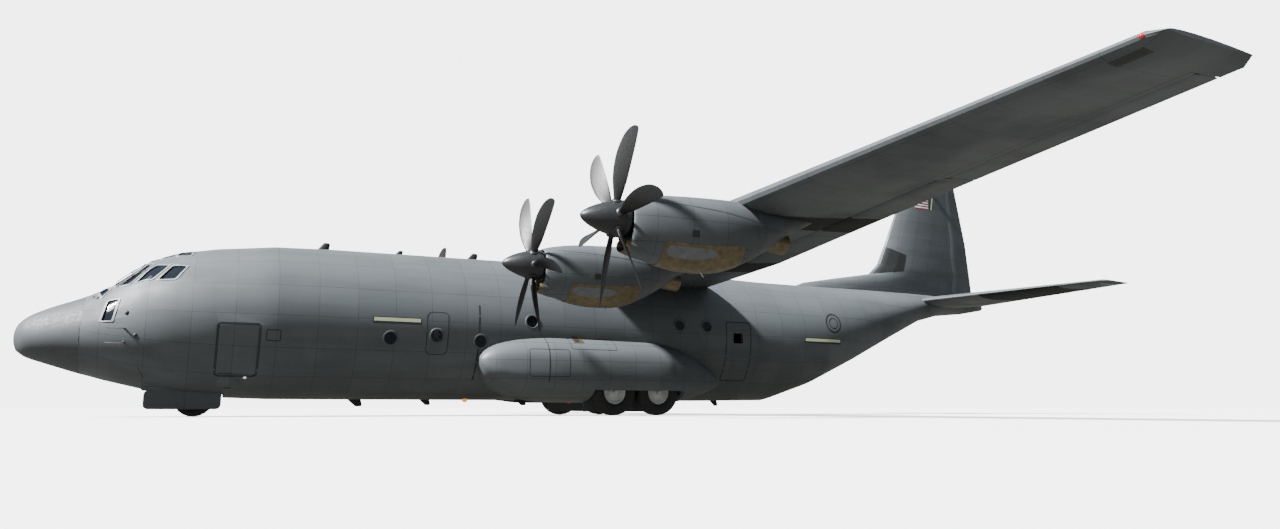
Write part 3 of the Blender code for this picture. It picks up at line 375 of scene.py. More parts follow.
finish = {
    "hull": paintedSkin("hullPaint", "hull"),
    # the wing's paint is darkened as painted shade for its shaded underside; the fin's is lightened a little
    # as painted light
    "wing": paintedSkin("wingPaintShaded", "wing", 0.82),
    "fin": paintedSkin("finPaintLit", "fin", 1.06),
    "pod": paintedSkin("podPaint", "pod"),
    "radome": plainFinish("radomePaint", (0.053, 0.059, 0.064), 0.62, grain=0.15, scale=30.0, bump=0.05,
                          dark=0.8),
    "blade": plainFinish("bladeBlack", (0.0055, 0.0058, 0.0065), 0.48, scale=60.0),
    "spinner": plainFinish("spinnerGrey", (0.013, 0.014, 0.0155), 0.42, scale=60.0),
    "tyre": plainFinish("tyreRubber", (0.020, 0.020, 0.021), 0.82, scale=140.0, bump=0.4),
    "wheel": plainFinish("wheelPaint", (0.55, 0.56, 0.56), 0.4, scale=80.0),
    "gear": plainFinish("gearPaint", (0.52, 0.54, 0.55), 0.4, scale=60.0),
    "steel": plainFinish("bareSteel", (0.42, 0.41, 0.40), 0.32, 1.0, scale=120.0),
    "chrome": plainFinish("oleoChrome", (0.75, 0.75, 0.76), 0.12, 1.0, scale=60.0, bump=0.02),
    "primer": plainFinish("innerPrimer", (0.33, 0.37, 0.30), 0.6, scale=40.0),
    "deck": plainFinish("deckGrey", (0.20, 0.21, 0.20), 0.65, scale=40.0, bump=0.3),
    "cloth": plainFinish("seatCloth", (0.10, 0.12, 0.10), 0.9, scale=260.0, bump=0.5),
    # black for the panel, sensors and wipers; also painted shade where it fills the nacelles' openings
    "dark": plainFinish("panelBlackAndPaintedShade", (0.018, 0.018, 0.020), 0.5, scale=120.0),
    "glass": glassFinish("cockpitGlass", (0.03, 0.04, 0.045), 0.45),
    "pane": glassFinish("windowPane", (0.010, 0.014, 0.020), 0.78),
    # the window frames are the hull's grey made about twice as light: painted light, as the lit skin shows
    "frame": plainFinish("windowFrameLitPaint", (0.15, 0.165, 0.175), 0.5, scale=60.0, bump=0.05, dark=0.8),
    "outline": plainFinish("outlineBlack", (0.014, 0.015, 0.016), 0.6, scale=60.0, bump=0.05),
    "strip": plainFinish("formationPale", (0.50, 0.55, 0.36), 0.5, scale=60.0, bump=0.02, dark=0.8),
    "bandWhite": plainFinish("bandWhite", (0.75, 0.77, 0.80), 0.5, scale=60.0, bump=0.02, dark=0.85),
    "stripeRed": plainFinish("stripeRed", (0.22, 0.02, 0.03), 0.5, scale=60.0, bump=0.02, dark=0.8),
    "bandBlue": plainFinish("bandBlue", (0.03, 0.07, 0.35), 0.5, scale=60.0, bump=0.02, dark=0.8),
    "lampPale": lampFinish("lampPaleGlass", (0.80, 0.80, 0.72), 0.6),
    "lampRed": lampFinish("lampRedGlass", (0.55, 0.02, 0.01), 0.5),
    "lampGreen": lampFinish("lampGreenGlass", (0.01, 0.40, 0.08), 0.5),
    "lampAmber": lampFinish("lampAmberGlass", (0.85, 0.30, 0.03), 1.2),
    "screen": lampFinish("displayScreen", (0.02, 0.07, 0.09), 0.35),
    "rim": plainFinish("windowRimPaint", (0.060, 0.068, 0.074), 0.5, scale=60.0, bump=0.05, dark=0.8),
    "bronze": plainFinish("heatBronze", (0.24, 0.195, 0.115), 0.44, 0.65, scale=14.0, grain=0.9, dark=0.25),
    "silver": plainFinish("bareSilver", (0.20, 0.215, 0.225), 0.38, 0.75, scale=14.0, grain=0.7, dark=0.4),
}


def both(*stems):
    return tuple(f"{stem}_{side}" for stem in stems for _, side in bothNames)


nodeFinish = {
    "hull": ("cockpit_section", "main_barrel", "tail_section", "cargo_ramp", "cargo_door", "crew_door")
            + both("paratroop_door", "nose_gear_door"),
    "wing": ("wing_centre", "stabiliser") + both("wing_outer", "aileron", "flap_inner", "flap_outer",
                                                 "elevator"),
    "fin": ("fin", "rudder"),
    "pod": both("gear_pod", "main_gear_door") + tuple(f"nacelle_{name}" for name in atEngines),
    "radome": ("nose_radome",),
    "steel": tuple(f"engine_{name}" for name in atEngines),
    "blade": tuple(f"propeller_{name}" for name in atEngines),
    "gear": ("nose_strut", "nose_fork") + both("main_gear_frame"),
    "tyre": both("nose_wheel") + tuple(f"main_wheel_{side}_{part}" for _, side in bothNames
                                       for part in ("front", "rear")),
    "primer": ("nose_gear_bay",),
    "deck": ("cargo_floor", "flight_deck"),
    "cloth": both("seat"),
    "dark": ("instrument_panel",),
    "glass": ("cockpit_glass",),
}


def dressNode(node, material):
    # gives a CAD node its finish, and smooth shading with crisp corners, without moving a vertex
    mesh = node.data
    mesh.materials.clear()
    mesh.materials.append(material)
    for face in mesh.polygons:
        face.material_index = 0
        face.use_smooth = True
    weld = node.modifiers.new("joined", "WELD")
    weld.merge_threshold = 0.00002
    corners = node.modifiers.new("corners", "EDGE_SPLIT")
    corners.split_angle = math.radians(28)


for finishName, names in nodeFinish.items():
    for nodeName in names:
        dressNode(cadNodes[nodeName], finish[finishName])
print("CAD nodes dressed")


def addPiece(name, points, faces, finishName, body="airframe", crisp=30.0):
    # a mesh piece in model metres that rides on a body. crisp is the angle above which its edges stay sharp
    mesh = bpy.data.meshes.new(name)
    mesh.from_pydata([tuple(p) for p in points], [], [tuple(f) for f in faces])
    mesh.validate()
    shape = bmesh.new()
    shape.from_mesh(mesh)
    bmesh.ops.remove_doubles(shape, verts=shape.verts, dist=0.00001)
    bmesh.ops.recalc_face_normals(shape, faces=shape.faces)
    shape.to_mesh(mesh)
    shape.free()
    mesh.materials.append(finish[finishName])
    for face in mesh.polygons:
        face.use_smooth = True
    piece = bpy.data.objects.new(name, mesh)
    bpy.context.scene.collection.objects.link(piece)
    corners = piece.modifiers.new("corners", "EDGE_SPLIT")
    corners.split_angle = math.radians(crisp)
    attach(piece, body)
    return piece


def join(*shapes):
    # several (points, faces) as one
    points, faces = [], []
    for somePoints, someFaces in shapes:
        start = len(points)
        points += list(somePoints)
        faces += [tuple(i + start for i in face) for face in someFaces]
    return points, faces


def loftRings(rings, endsClosed=True, ringClosed=True):
    count = len(rings[0])
    points = [p for ring in rings for p in ring]
    faces = []
    for r in range(len(rings) - 1):
        for i in range(count if ringClosed else count - 1):
            a, b = r * count + i, r * count + (i + 1) % count
            faces.append((a, b, b + count, a + count))
    if endsClosed:
        faces += [tuple(range(count)), tuple((len(rings) - 1) * count + i for i in range(count))]
    return points, faces


def turnsRound(count, shift=0.0):
    return [2 * math.pi * (k + shift) / count for k in range(count)]


def turned(profile, centre, axis, sides=32, endsClosed=True):
    # a profile of (along, radius) turned about an axis through centre, in model metres
    axis = Vector(axis).normalized()
    across = axis.orthogonal().normalized()
    third = axis.cross(across)
    rings = []
    for along, radius in profile:
        middle, reach = Vector(centre) + axis * along, max(radius, 0.00002)
        rings.append([middle + (across * math.cos(t) + third * math.sin(t)) * reach
                      for t in turnsRound(sides)])
    return loftRings(rings, endsClosed)


def tube(path, radius, sides=12):
    # a round bar or pipe along points; radius may be one number or one for each point
    radii = radius if isinstance(radius, (list, tuple)) else [radius] * len(path)
    path = [Vector(p) for p in path]
    rings = []
    lift = None
    for i, point in enumerate(path):
        ahead = (path[min(i + 1, len(path) - 1)] - path[max(i - 1, 0)]).normalized()
        if lift is None:
            lift = ahead.orthogonal().normalized()
        lift = (lift - ahead * lift.dot(ahead)).normalized()
        third = ahead.cross(lift)
        rings.append([point + (lift * math.cos(t) + third * math.sin(t)) * radii[i]
                      for t in turnsRound(sides)])
    return loftRings(rings)


def block(low, high, bevel=0.0):
    # a box between two corners with its edges taken off
    shape = bmesh.new()
    bmesh.ops.create_cube(shape, size=1.0)
    for vert in shape.verts:
        vert.co = [low[k] + (high[k] - low[k]) * (vert.co[k] + 0.5) for k in range(3)]
    if bevel:
        bmesh.ops.bevel(shape, geom=list(shape.edges), offset=bevel, segments=2, affect="EDGES", profile=0.6)
    points = [v.co.copy() for v in shape.verts]
    shape.verts.index_update()
    faces = [[v.index for v in f.verts] for f in shape.faces]
    shape.free()
    return points, faces


def between(rows, x):
    if x <= rows[0][0]:
        return list(rows[0][1:])
    for low, high in zip(rows, rows[1:]):
        if x <= high[0]:
            share = (x - low[0]) / (high[0] - low[0])
            return [a + (b - a) * share for a, b in zip(low[1:], high[1:])]
    return list(rows[-1][1:])


def smoothRows(rows, steps):
    # more rows on smooth curves through the given ones
    out = []
    for i in range(len(rows) - 1):
        before, a, b, after = rows[max(i - 1, 0)], rows[i], rows[i + 1], rows[min(i + 2, len(rows) - 1)]
        for s in range(steps):
            t = s / steps
            row = []
            for p, q, r, n in zip(before, a, b, after):
                row.append(0.5 * (2 * q + (r - p) * t + (2 * p - 5 * q + 4 * r - n) * t * t
                                  + (3 * q - p - 3 * r + n) * t ** 3))
            out.append(row)
    return out + [list(rows[-1])]


# the hull, as the CAD has it: x, half width, top, bottom, height of the widest place, roundness below
hull = {
    "sides": 32,
    "rows": (
        (0.00, 0.14, 2.14, 1.86, 2.00, 2.0), (0.08, 0.36, 2.34, 1.66, 2.00, 2.0),
        (0.30, 0.62, 2.56, 1.50, 2.00, 2.0), (0.75, 0.90, 2.80, 1.34, 2.02, 2.0),
        (1.50, 1.24, 3.12, 1.10, 2.11, 2.0), (2.05, 1.48, 3.42, 0.94, 2.24, 2.05),
        (2.90, 1.80, 4.16, 0.73, 2.43, 2.15), (3.60, 1.97, 4.44, 0.60, 2.53, 2.2),
        (4.50, 2.09, 4.62, 0.52, 2.60, 2.2), (6.00, 2.18, 4.80, 0.47, 2.65, 2.2),
        (7.50, 2.19, 4.85, 0.47, 2.66, 2.2), (14.00, 2.19, 4.92, 0.47, 2.66, 2.2),
        (20.00, 2.19, 4.92, 0.47, 2.66, 2.2), (22.60, 2.19, 4.86, 0.50, 2.66, 2.3),
        (24.20, 2.15, 4.86, 1.05, 2.80, 2.8), (26.20, 1.95, 4.87, 1.98, 3.20, 3.3),
        (28.20, 1.57, 4.88, 2.88, 3.70, 3.2), (30.10, 1.12, 4.88, 3.66, 4.22, 2.8),
        (31.60, 0.78, 4.86, 4.02, 4.42, 2.4), (33.20, 0.48, 4.79, 4.18, 4.47, 2.0),
        (34.37, 0.16, 4.62, 4.38, 4.50, 2.0),
    ),
}


def hullCurve(x, turn, out=0.0):
    halfWidth, top, bottom, middle, roundness = between(hull["rows"], x)
    halfWidth, top, bottom = halfWidth + out, top + out, bottom - out
    c, s = math.cos(turn), math.sin(turn)
    if s >= 0:
        return Vector((x, halfWidth * c, middle + (top - middle) * s))
    power = 2 / roundness
    return Vector((x, math.copysign(halfWidth * abs(c) ** power, c),
                   middle - (middle - bottom) * abs(s) ** power))


def hullAt(x, degrees, out=0.0):
    # a point on the CAD hull's own facets, out from them by a distance, as model metres
    step = 2 * math.pi / hull["sides"]
    slot = math.radians(degrees) / step - 0.5
    low = math.floor(slot)
    first, second = (hullCurve(x, (low + k + 0.5) * step, out) for k in (0, 1))
    return place(*first.lerp(second, slot - low))


pod = {
    # x, outer face, top, bottom
    "rows": (
        (11.50, 2.22, 1.72, 1.50), (11.54, 2.30, 1.86, 1.32), (11.68, 2.41, 2.04, 1.08),
        (11.95, 2.52, 2.20, 0.86), (12.35, 2.60, 2.32, 0.68), (12.80, 2.66, 2.40, 0.54),
        (13.40, 2.71, 2.45, 0.45), (13.90, 2.73, 2.46, 0.405), (15.00, 2.735, 2.45, 0.40),
        (17.20, 2.73, 2.41, 0.385), (17.80, 2.68, 2.30, 0.40), (18.40, 2.61, 2.135, 0.43),
        (19.15, 2.41, 1.635, 0.645), (19.45, 2.28, 1.37, 0.78), (19.62, 2.19, 1.20, 0.92),
    ),
    "inner": 1.0,
    "roundness": 2.8,
    "wheelOpening": (14.93, 18.10, -31.0),
    "steps": 40,
}


def makePodSkin(side, name):
    # a smooth skin over the CAD's facets, left open below at the wheels and inside the hull
    rows, steps, power = smoothRows(pod["rows"], 5), pod["steps"], 2 / pod["roundness"]
    front, back, low = pod["wheelOpening"]
    points, faces = [], []
    for x, outer, top, bottom in rows:
        for k in range(steps + 1):
            turn = math.radians(-88 + 178 * k / steps)
            c, s = abs(math.cos(turn)), math.sin(turn)
            height = (top + bottom) / 2 + math.copysign((top - bottom) / 2 * abs(s) ** power, s)
            points.append((x, pod["inner"] + (outer - pod["inner"]) * c ** power, height))
    hidden = [(y / 2.16) ** 2 + ((z - 2.66) / 2.16) ** 2 < 1 for _, y, z in points]
    for r in range(len(rows) - 1):
        for k in range(steps):
            corners = [r * (steps + 1) + k, r * (steps + 1) + k + 1, (r + 1) * (steps + 1) + k + 1,
                       (r + 1) * (steps + 1) + k]
            middle = (rows[r][0] + rows[r + 1][0]) / 2
            atWheels = front < middle < back and -88 + 178 * k / steps < low
            if not atWheels and not all(hidden[c] for c in corners):
                faces.append(corners)
    faces.append([k for k in range(steps + 1)])
    return addPiece(f"podSkin_{name}", [place(x, side * y, z) for x, y, z in points], faces, "pod", crisp=50)


podSkins = [makePodSkin(side, name) for side, name in bothNames]


def skinTree(names, pieces=()):
    points, faces = [], []
    for mesh in [cadNodes[name].data for name in names] + [piece.data for piece in pieces]:
        start = len(points)
        points += [v.co.copy() for v in mesh.vertices]
        faces += [tuple(i + start for i in f.vertices) for f in mesh.polygons]
    return BVHTree.FromPolygons(points, faces)


skins = {
    "hull": skinTree(nodeFinish["hull"] + nodeFinish["radome"] + ("gear_pod_port", "gear_pod_starboard"),
                     podSkins),
    "fin": skinTree(("fin",)),
    "rudder": skinTree(("rudder",)),
    "wing": skinTree(("wing_centre", "wing_outer_port", "wing_outer_starboard")),
    "tail": skinTree(("stabiliser",)),
}


def lay(skin, start, direction, lift=0.0012):
    # the place where a line meets a skin, lifted off it a little
    start, direction = Vector(start), Vector(direction).normalized()
    hit, normal, _, _ = skins[skin].ray_cast(start, direction)
    if hit is None:
        return None
    if normal.dot(direction) > 0:
        normal = -normal
    return hit + normal * lift


def laidGrid(name, rows, skin, direction, finishName, body="airframe", lift=0.0012):
    # a thin marking: rows of starting points thrown along direction onto a skin
    width = len(rows[0])
    points, faces, index = [], [], {}
    for r, row in enumerate(rows):
        for c, start in enumerate(row):
            hit = lay(skin, start, direction, lift)
            if hit is not None:
                index[r, c] = len(points)
                points.append(hit)
    for r in range(len(rows) - 1):
        for c in range(width - 1):
            corners = [index.get(k) for k in ((r, c), (r, c + 1), (r + 1, c + 1), (r + 1, c))]
            if None not in corners:
                faces.append(corners)
    return addPiece(name, points, faces, finishName, body)


def ribbonRows(path, width):
    # two rows of points beside a path of (x, z), for a line of that width
    rows = ([], [])
    for i, (x, z) in enumerate(path):
        here = Vector((x, z))
        ahead = Vector(path[i + 1]) - here if i + 1 < len(path) else here - Vector(path[i - 1])
        behind = here - Vector(path[i - 1]) if i else ahead
        along = (ahead.normalized() + behind.normalized()).normalized()
        across = Vector((-along.y, along.x)) * width / 2
        rows[0].append((x + across.x, z + across.y))
        rows[1].append((x - across.x, z - across.y))
    return rows


def roundedLoop(x0, x1, z0, z1, radius, steps=5, edge=6):
    # the outline of a rounded rectangle as a closed path of (x, z)
    corners = ((x1 - radius, z1 - radius, 0), (x0 + radius, z1 - radius, 90),
               (x0 + radius, z0 + radius, 180), (x1 - radius, z0 + radius, 270))
    path = []
    for n, (x, z, start) in enumerate(corners):
        for k in range(steps + 1):
            turn = math.radians(start + 90 * k / steps)
            path.append((x + radius * math.cos(turn), z + radius * math.sin(turn)))
        nextX, nextZ, nextStart = corners[(n + 1) % 4]
        turn = math.radians(nextStart)
        goal = (nextX + radius * math.cos(turn), nextZ + radius * math.sin(turn))
        last = path[-1]
        path += [(last[0] + (goal[0] - last[0]) * k / edge, last[1] + (goal[1] - last[1]) * k / edge)
                 for k in range(1, edge)]
    return path + [path[0]]


def sideRows(rows, side):
    return [[place(x, side * 3.4, z) for x, z in row] for row in rows]


# cockpit and cabin windows
glazing = {
    "frameWidth": 0.055,
    "frameRise": 0.014,
    "paneSink": 0.030,
    "corners": (
        ((2.78, 94.0), (2.70, 107.5), (2.16, 122.0), (2.12, 94.5)),
        ((2.86, 113.5), (2.98, 119.5), (2.50, 135.0), (2.24, 127.0)),
        ((3.06, 123.5), (3.36, 129.5), (3.00, 143.0), (2.62, 138.0)),
        ((3.44, 131.5), (3.78, 135.5), (3.54, 148.0), (3.14, 145.0)),
        ((2.94, 94.0), (3.14, 94.0), (3.10, 105.0), (2.90, 106.0)),
        ((3.22, 97.0), (3.50, 98.0), (3.46, 111.0), (3.16, 109.0)),
        ((3.58, 100.0), (3.90, 102.0), (3.84, 118.0), (3.52, 114.0)),
        ((1.96, 104.0), (2.05, 121.0), (1.90, 133.0), (1.80, 116.0)),
        ((2.07, 146.0), (2.30, 151.0), (2.20, 175.0), (1.96, 172.0)),
    ),
    "roundWindows": ((8.94, 2.15), (10.23, 2.26), (11.52, 2.15), (13.08, 2.79), (18.16, 2.90),
                     (19.20, 2.90)),
    "roundRadius": 0.17,
}


def windowOutline(corners, mirrored, grow, rounding=0.16, steps=4, edge=4):
    # points round a pane in (x, degrees), grown outward by a distance, with rounded corners
    centre = Vector((sum(c[0] for c in corners) / 4, sum(c[1] for c in corners) / 4))
    metresPerDegree = math.radians(1) * plane["hullRadius"]

    def flat(corner):
        return Vector(((corner[0] - centre.x), (corner[1] - centre.y) * metresPerDegree))

    flats = [flat(c) for c in corners]
    turnSign = sum(a.x * b.y - a.y * b.x for a, b in zip(flats, flats[1:] + flats[:1]))
    if turnSign < 0:
        flats.reverse()
    moved = []
    for i, point in enumerate(flats):
        before, after = flats[i - 1], flats[(i + 1) % 4]
        u, v = (point - before).normalized(), (after - point).normalized()
        outU, outV = Vector((u.y, -u.x)), Vector((v.y, -v.x))
        moved.append(point + (outU + outV) / (1 + outU.dot(outV)) * grow)
    path = []
    for i, point in enumerate(moved):
        before, after = moved[i - 1], moved[(i + 1) % 4]
        size = min((point - before).length, (after - point).length) * rounding
        start, end = point + (before - point).normalized() * size, point + (after - point).normalized() * size
        for k in range(steps + 1):
            t = k / steps
            path.append(start * (1 - t) ** 2 + point * 2 * t * (1 - t) + end * t * t)
        nextSize = min((after - point).length, (moved[(i + 2) % 4] - after).length)
        nextStart = after + (point - after).normalized() * nextSize * rounding
        path += [end.lerp(nextStart, k / edge) for k in range(1, edge)]
    points = []
    for flatPoint in path:
        x, degrees = centre.x + flatPoint.x, centre.y + flatPoint.y / metresPerDegree
        points.append((x, 180 - degrees if mirrored else degrees))
    return points


def makeGlazing():
    wide, rise, sink = glazing["frameWidth"], glazing["frameRise"], glazing["paneSink"]
    panes = []
    for side, mirrored in (("port", False), ("starboard", True)):
        for n, corners in enumerate(glazing["corners"]):
            rings = []
            for grow, out in ((-0.006, -sink - 0.03), (-0.006, rise * 0.7), (0.012, rise),
                              (wide * 0.8, rise), (wide, -0.004)):
                outline = windowOutline(corners, mirrored, grow)
                rings.append([hullAt(x, degrees, out) for x, degrees in outline])
            points, faces = loftRings(rings, endsClosed=False)
            addPiece(f"windowFrame_{side}_{n}", points, faces, "frame", crisp=50)
            outline = windowOutline(corners, mirrored, 0.004)
            middle = Vector((sum(p[0] for p in outline), sum(p[1] for p in outline))) / len(outline)
            rings = []
            for share in (1.0, 0.75, 0.5, 0.25, 0.02):
                rings.append([hullAt(middle.x + (x - middle.x) * share,
                                     middle.y + (degrees - middle.y) * share, -sink)
                              for x, degrees in outline])
            points, faces = loftRings(rings, endsClosed=False)
            faces.append(tuple(4 * len(outline) + i for i in range(len(outline))))
            panes.append((points, faces))
    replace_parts(addPiece("cockpitPanes", *join(*panes), "pane", crisp=60), "cockpit_glass")


def makeRoundWindows():
    radius = glazing["roundRadius"]
    for side, name in bothNames:
        for n, (x, z) in enumerate(glazing["roundWindows"]):
            rings = []
            for grow, lift in ((1.0, -0.03), (1.0, 0.004), (1.06, 0.007), (1.26, 0.007), (1.34, 0.0005)):
                ring = []
                for turn in turnsRound(28):
                    # inside the hole the rim follows the skin just outside it
                    reach = radius * 1.03
                    probe = lay("hull", place(x + reach * math.cos(turn), side * 3.4,
                                              z + reach * math.sin(turn)), (0, -side, 0), 0)
                    spot = place(x + radius * grow * math.cos(turn), 0, z + radius * grow * math.sin(turn))
                    ring.append(Vector((spot.x, probe.y + side * lift, spot.z)))
                rings.append(ring)
            points, faces = loftRings(rings, endsClosed=False)
            addPiece(f"roundWindowRim_{name}_{n}", points, faces, "rim", crisp=50)
            centre = sum((p for p in rings[1]), Vector()) / 28
            disc = turned(((0.0, 0.0), (0.0, radius * 0.51), (-0.004, radius * 0.51), (-0.004, 0.0)),
                          centre - Vector((0, side * 0.012, 0)), (0, side, 0), 28)
            addPiece(f"roundWindowPane_{name}_{n}", *disc, "pane", crisp=40)


makeGlazing()
makeRoundWindows()
print("windows done")

# markings laid on the skin
marks = {
    # name, x from, x to, z from, z to, corner radius, points along an edge, line width
    "portLoops": (("crewDoorOutline", 4.59, 5.61, 1.06, 2.41, 0.10, 12, 0.035),
                  ("smallHatchOutline", 5.76, 6.10, 1.98, 2.26, 0.03, 4, 0.025)),
    "sideLoops": (("troopDoorOutline", 19.96, 20.94, 1.15, 3.09, 0.08, 14, 0.035),
                  ("escapeHatchOutline", 9.94, 10.55, 1.74, 2.93, 0.14, 10, 0.025)),
    "stripPale": ((8.46, 9.75, 2.62, 2.72), (23.27, 24.89, 2.56, 2.66)),
    "warning": (11.46, 0.025, 1.05, 3.20),
    "rings": (24.62, 3.25, (0.30, 0.36), (0.17, 0.21)),
    "underTips": (("wingTipPanel", "wing", "outline", (15.60, 15.84), (19.28, 19.84), 4.0),
                  ("stabiliserStrip", "tail", "strip", (31.55, 32.25), (7.72, 7.78), 3.6)),
}


def laidLoop(name, x0, x1, z0, z1, radius, edge, width, side):
    rows = ribbonRows(roundedLoop(x0, x1, z0, z1, radius, edge=edge), width)
    middle = [((a[0] + b[0]) / 2, (a[1] + b[1]) / 2) for a, b in zip(*rows)]
    return laidGrid(name, sideRows((rows[0], middle, rows[1]), side), "hull", (0, -side, 0), "outline",
                    lift=0.0013)


def laidBlock(name, x0, x1, z0, z1, side, finishName, steps=(10, 3), lift=0.0013):
    rows = [[(x0 + (x1 - x0) * i / steps[0], z0 + (z1 - z0) * k / steps[1]) for i in range(steps[0] + 1)]
            for k in range(steps[1] + 1)]
    return laidGrid(name, sideRows(rows, side), "hull", (0, -side, 0), finishName, lift=lift)


def laidRing(name, x, z, inner, outer, side, finishName):
    rows = [[(x + r * math.cos(t), z + r * math.sin(t)) for t in (2 * math.pi * k / 48 for k in range(49))]
            for r in (inner, (inner + outer) / 2, outer)]
    return laidGrid(name, sideRows(rows, side), "hull", (0, -side, 0), finishName)


def makeMarkings():
    for name, *loop in marks["portLoops"]:
        laidLoop(name, *loop, -1)
    for side, name in bothNames:
        for part, *loop in marks["sideLoops"]:
            laidLoop(f"{part}_{name}", *loop, side)
        for n, (x0, x1, z0, z1) in enumerate(marks["stripPale"]):
            laidBlock(f"formationBack_{name}_{n}", x0 - 0.03, x1 + 0.03, z0 - 0.07, z1 + 0.02, side,
                      "outline", lift=0.0011)
            laidBlock(f"formationStrip_{name}_{n}", x0, x1, z0, z1, side, "strip", lift=0.0020)
        x, half, low, high = marks["warning"]
        laidBlock(f"propellerLine_{name}", x - half, x + half, low, high, side, "outline", (1, 24))
        x, z, outerRing, innerRing = marks["rings"]
        laidRing(f"ringMark_{name}", x, z, *outerRing, side, "outline")
        laidRing(f"ringMarkInner_{name}", x, z, *innerRing, side, "outline")


finShape = {
    "rows": ((4.72, 24.10, 33.97), (5.02, 24.90, 33.95), (5.30, 26.50, 33.92), (5.58, 28.20, 33.90),
             (6.00, 28.68, 33.87), (7.20, 29.28, 33.74), (10.88, 31.05, 33.03), (11.35, 31.29, 32.94),
             (11.68, 31.62, 32.78), (11.84, 31.92, 32.52)),
}
finMarks = {
    "bandRows": (10.60, 10.78, 10.95),
    "bandEnd": 32.5,
    "diamondRows": (10.69, 10.86),
    "diamond": (0.066, 0.075),
    "diamonds": 11,
    # height of the boot's lower and upper end, at its front and at its back
    "boot": ((5.60, 5.81), (6.76, 6.46)),
    # the boot's back edge: x and height of its foot, and how far it runs aft and up
    "bootBack": (29.83, 5.81, 0.21, 0.65),
    # foot of the formation strips, and how far they run aft and up
    "stripLine": (31.62, 8.55, 0.36, 1.70),
    # part, shift aft, width, finish, lift
    "strips": (("back", 0.0, 0.20, "rim", 0.0012), ("dark", -0.045, 0.07, "outline", 0.0022),
               ("pale", 0.04, 0.07, "strip", 0.0022)),
    # x, height of the first, length, width, how many
    "stripes": (30.75, 9.22, 0.75, 0.055, 13),
}


def makeFinMarkings():
    # the pale band with its blue diamonds, the formation strips and the black boot on the leading edge
    for side, name in bothNames:

        def layOn(part, rows, finishName, lift):
            laidGrid(f"{part}_{name}", sideRows(rows, side), "fin", (0, -side, 0), finishName, lift=lift)

        rows = []
        for z in finMarks["bandRows"]:
            start = between(finShape["rows"], z)[0] + 0.06
            rows.append([(start + (finMarks["bandEnd"] - start) * k / 16, z) for k in range(17)])
        layOn("finBand", rows, "bandWhite", 0.0013)
        points, faces = [], []
        (halfWide, halfHigh), count = finMarks["diamond"], finMarks["diamonds"]
        for row, z in enumerate(finMarks["diamondRows"]):
            start = between(finShape["rows"], z)[0] + 0.16
            for k in range(count):
                x = start + (finMarks["bandEnd"] - 0.16 - start) * (k + (0.0 if row else 0.5)) / count
                spots = [(x - halfWide, z), (x, z - halfHigh), (x + halfWide, z), (x, z + halfHigh)]
                hits = [lay("fin", place(px, side * 2.0, pz), (0, -side, 0), 0.0022) for px, pz in spots]
                if None not in hits:
                    faces.append(tuple(range(len(points), len(points) + 4)))
                    points += hits
        addPiece(f"finDiamonds_{name}", points, faces, "bandBlue")
        rows = []
        footX, footZ, aft, rise = finMarks["bootBack"]
        for k in range(17):
            share = k / 16
            low, high = (a + (b - a) * share for a, b in finMarks["boot"])
            rows.append([])
            for j in range(17):
                z = low + (high - low) * j / 16
                front = between(finShape["rows"], z)[0] + 0.03
                back = footX + aft * (z - footZ) / rise
                rows[-1].append((front + (back - front) * share, z))
        layOn("finBoot", rows, "outline", 0.0035)
        footX, footZ, aft, rise = finMarks["stripLine"]
        for part, shift, width, finishName, lift in finMarks["strips"]:
            path = [(footX + shift + aft * k / 10, footZ + rise * k / 10) for k in range(11)]
            layOn(f"finStrip{part}", ribbonRows(path, width), finishName, lift)
        x, z, length, width, count = finMarks["stripes"]
        for n in range(count):
            middle = z - width * n
            rows = [[(x + length * k / 8, middle + width / 2 * j) for k in range(9)] for j in (-1, 1)]
            layOn(f"finStripe{n}", rows, "bandWhite" if n % 2 else "stripeRed", 0.0016)


def makeTipMarkings():
    # the dark panel below each wing tip and the pale strip below each tip of the stabiliser
    for side, name in bothNames:
        for part, skin, finishName, (x0, x1), (y0, y1), z in marks["underTips"]:
            rows = [[place(x0 + (x1 - x0) * i / 6, side * (y0 + (y1 - y0) * k / 3), z) for i in range(7)]
                    for k in range(4)]
            laidGrid(f"{part}_{name}", rows, skin, (0, 0, 1), finishName)


makeMarkings()
makeFinMarkings()
makeTipMarkings()
print("markings done")

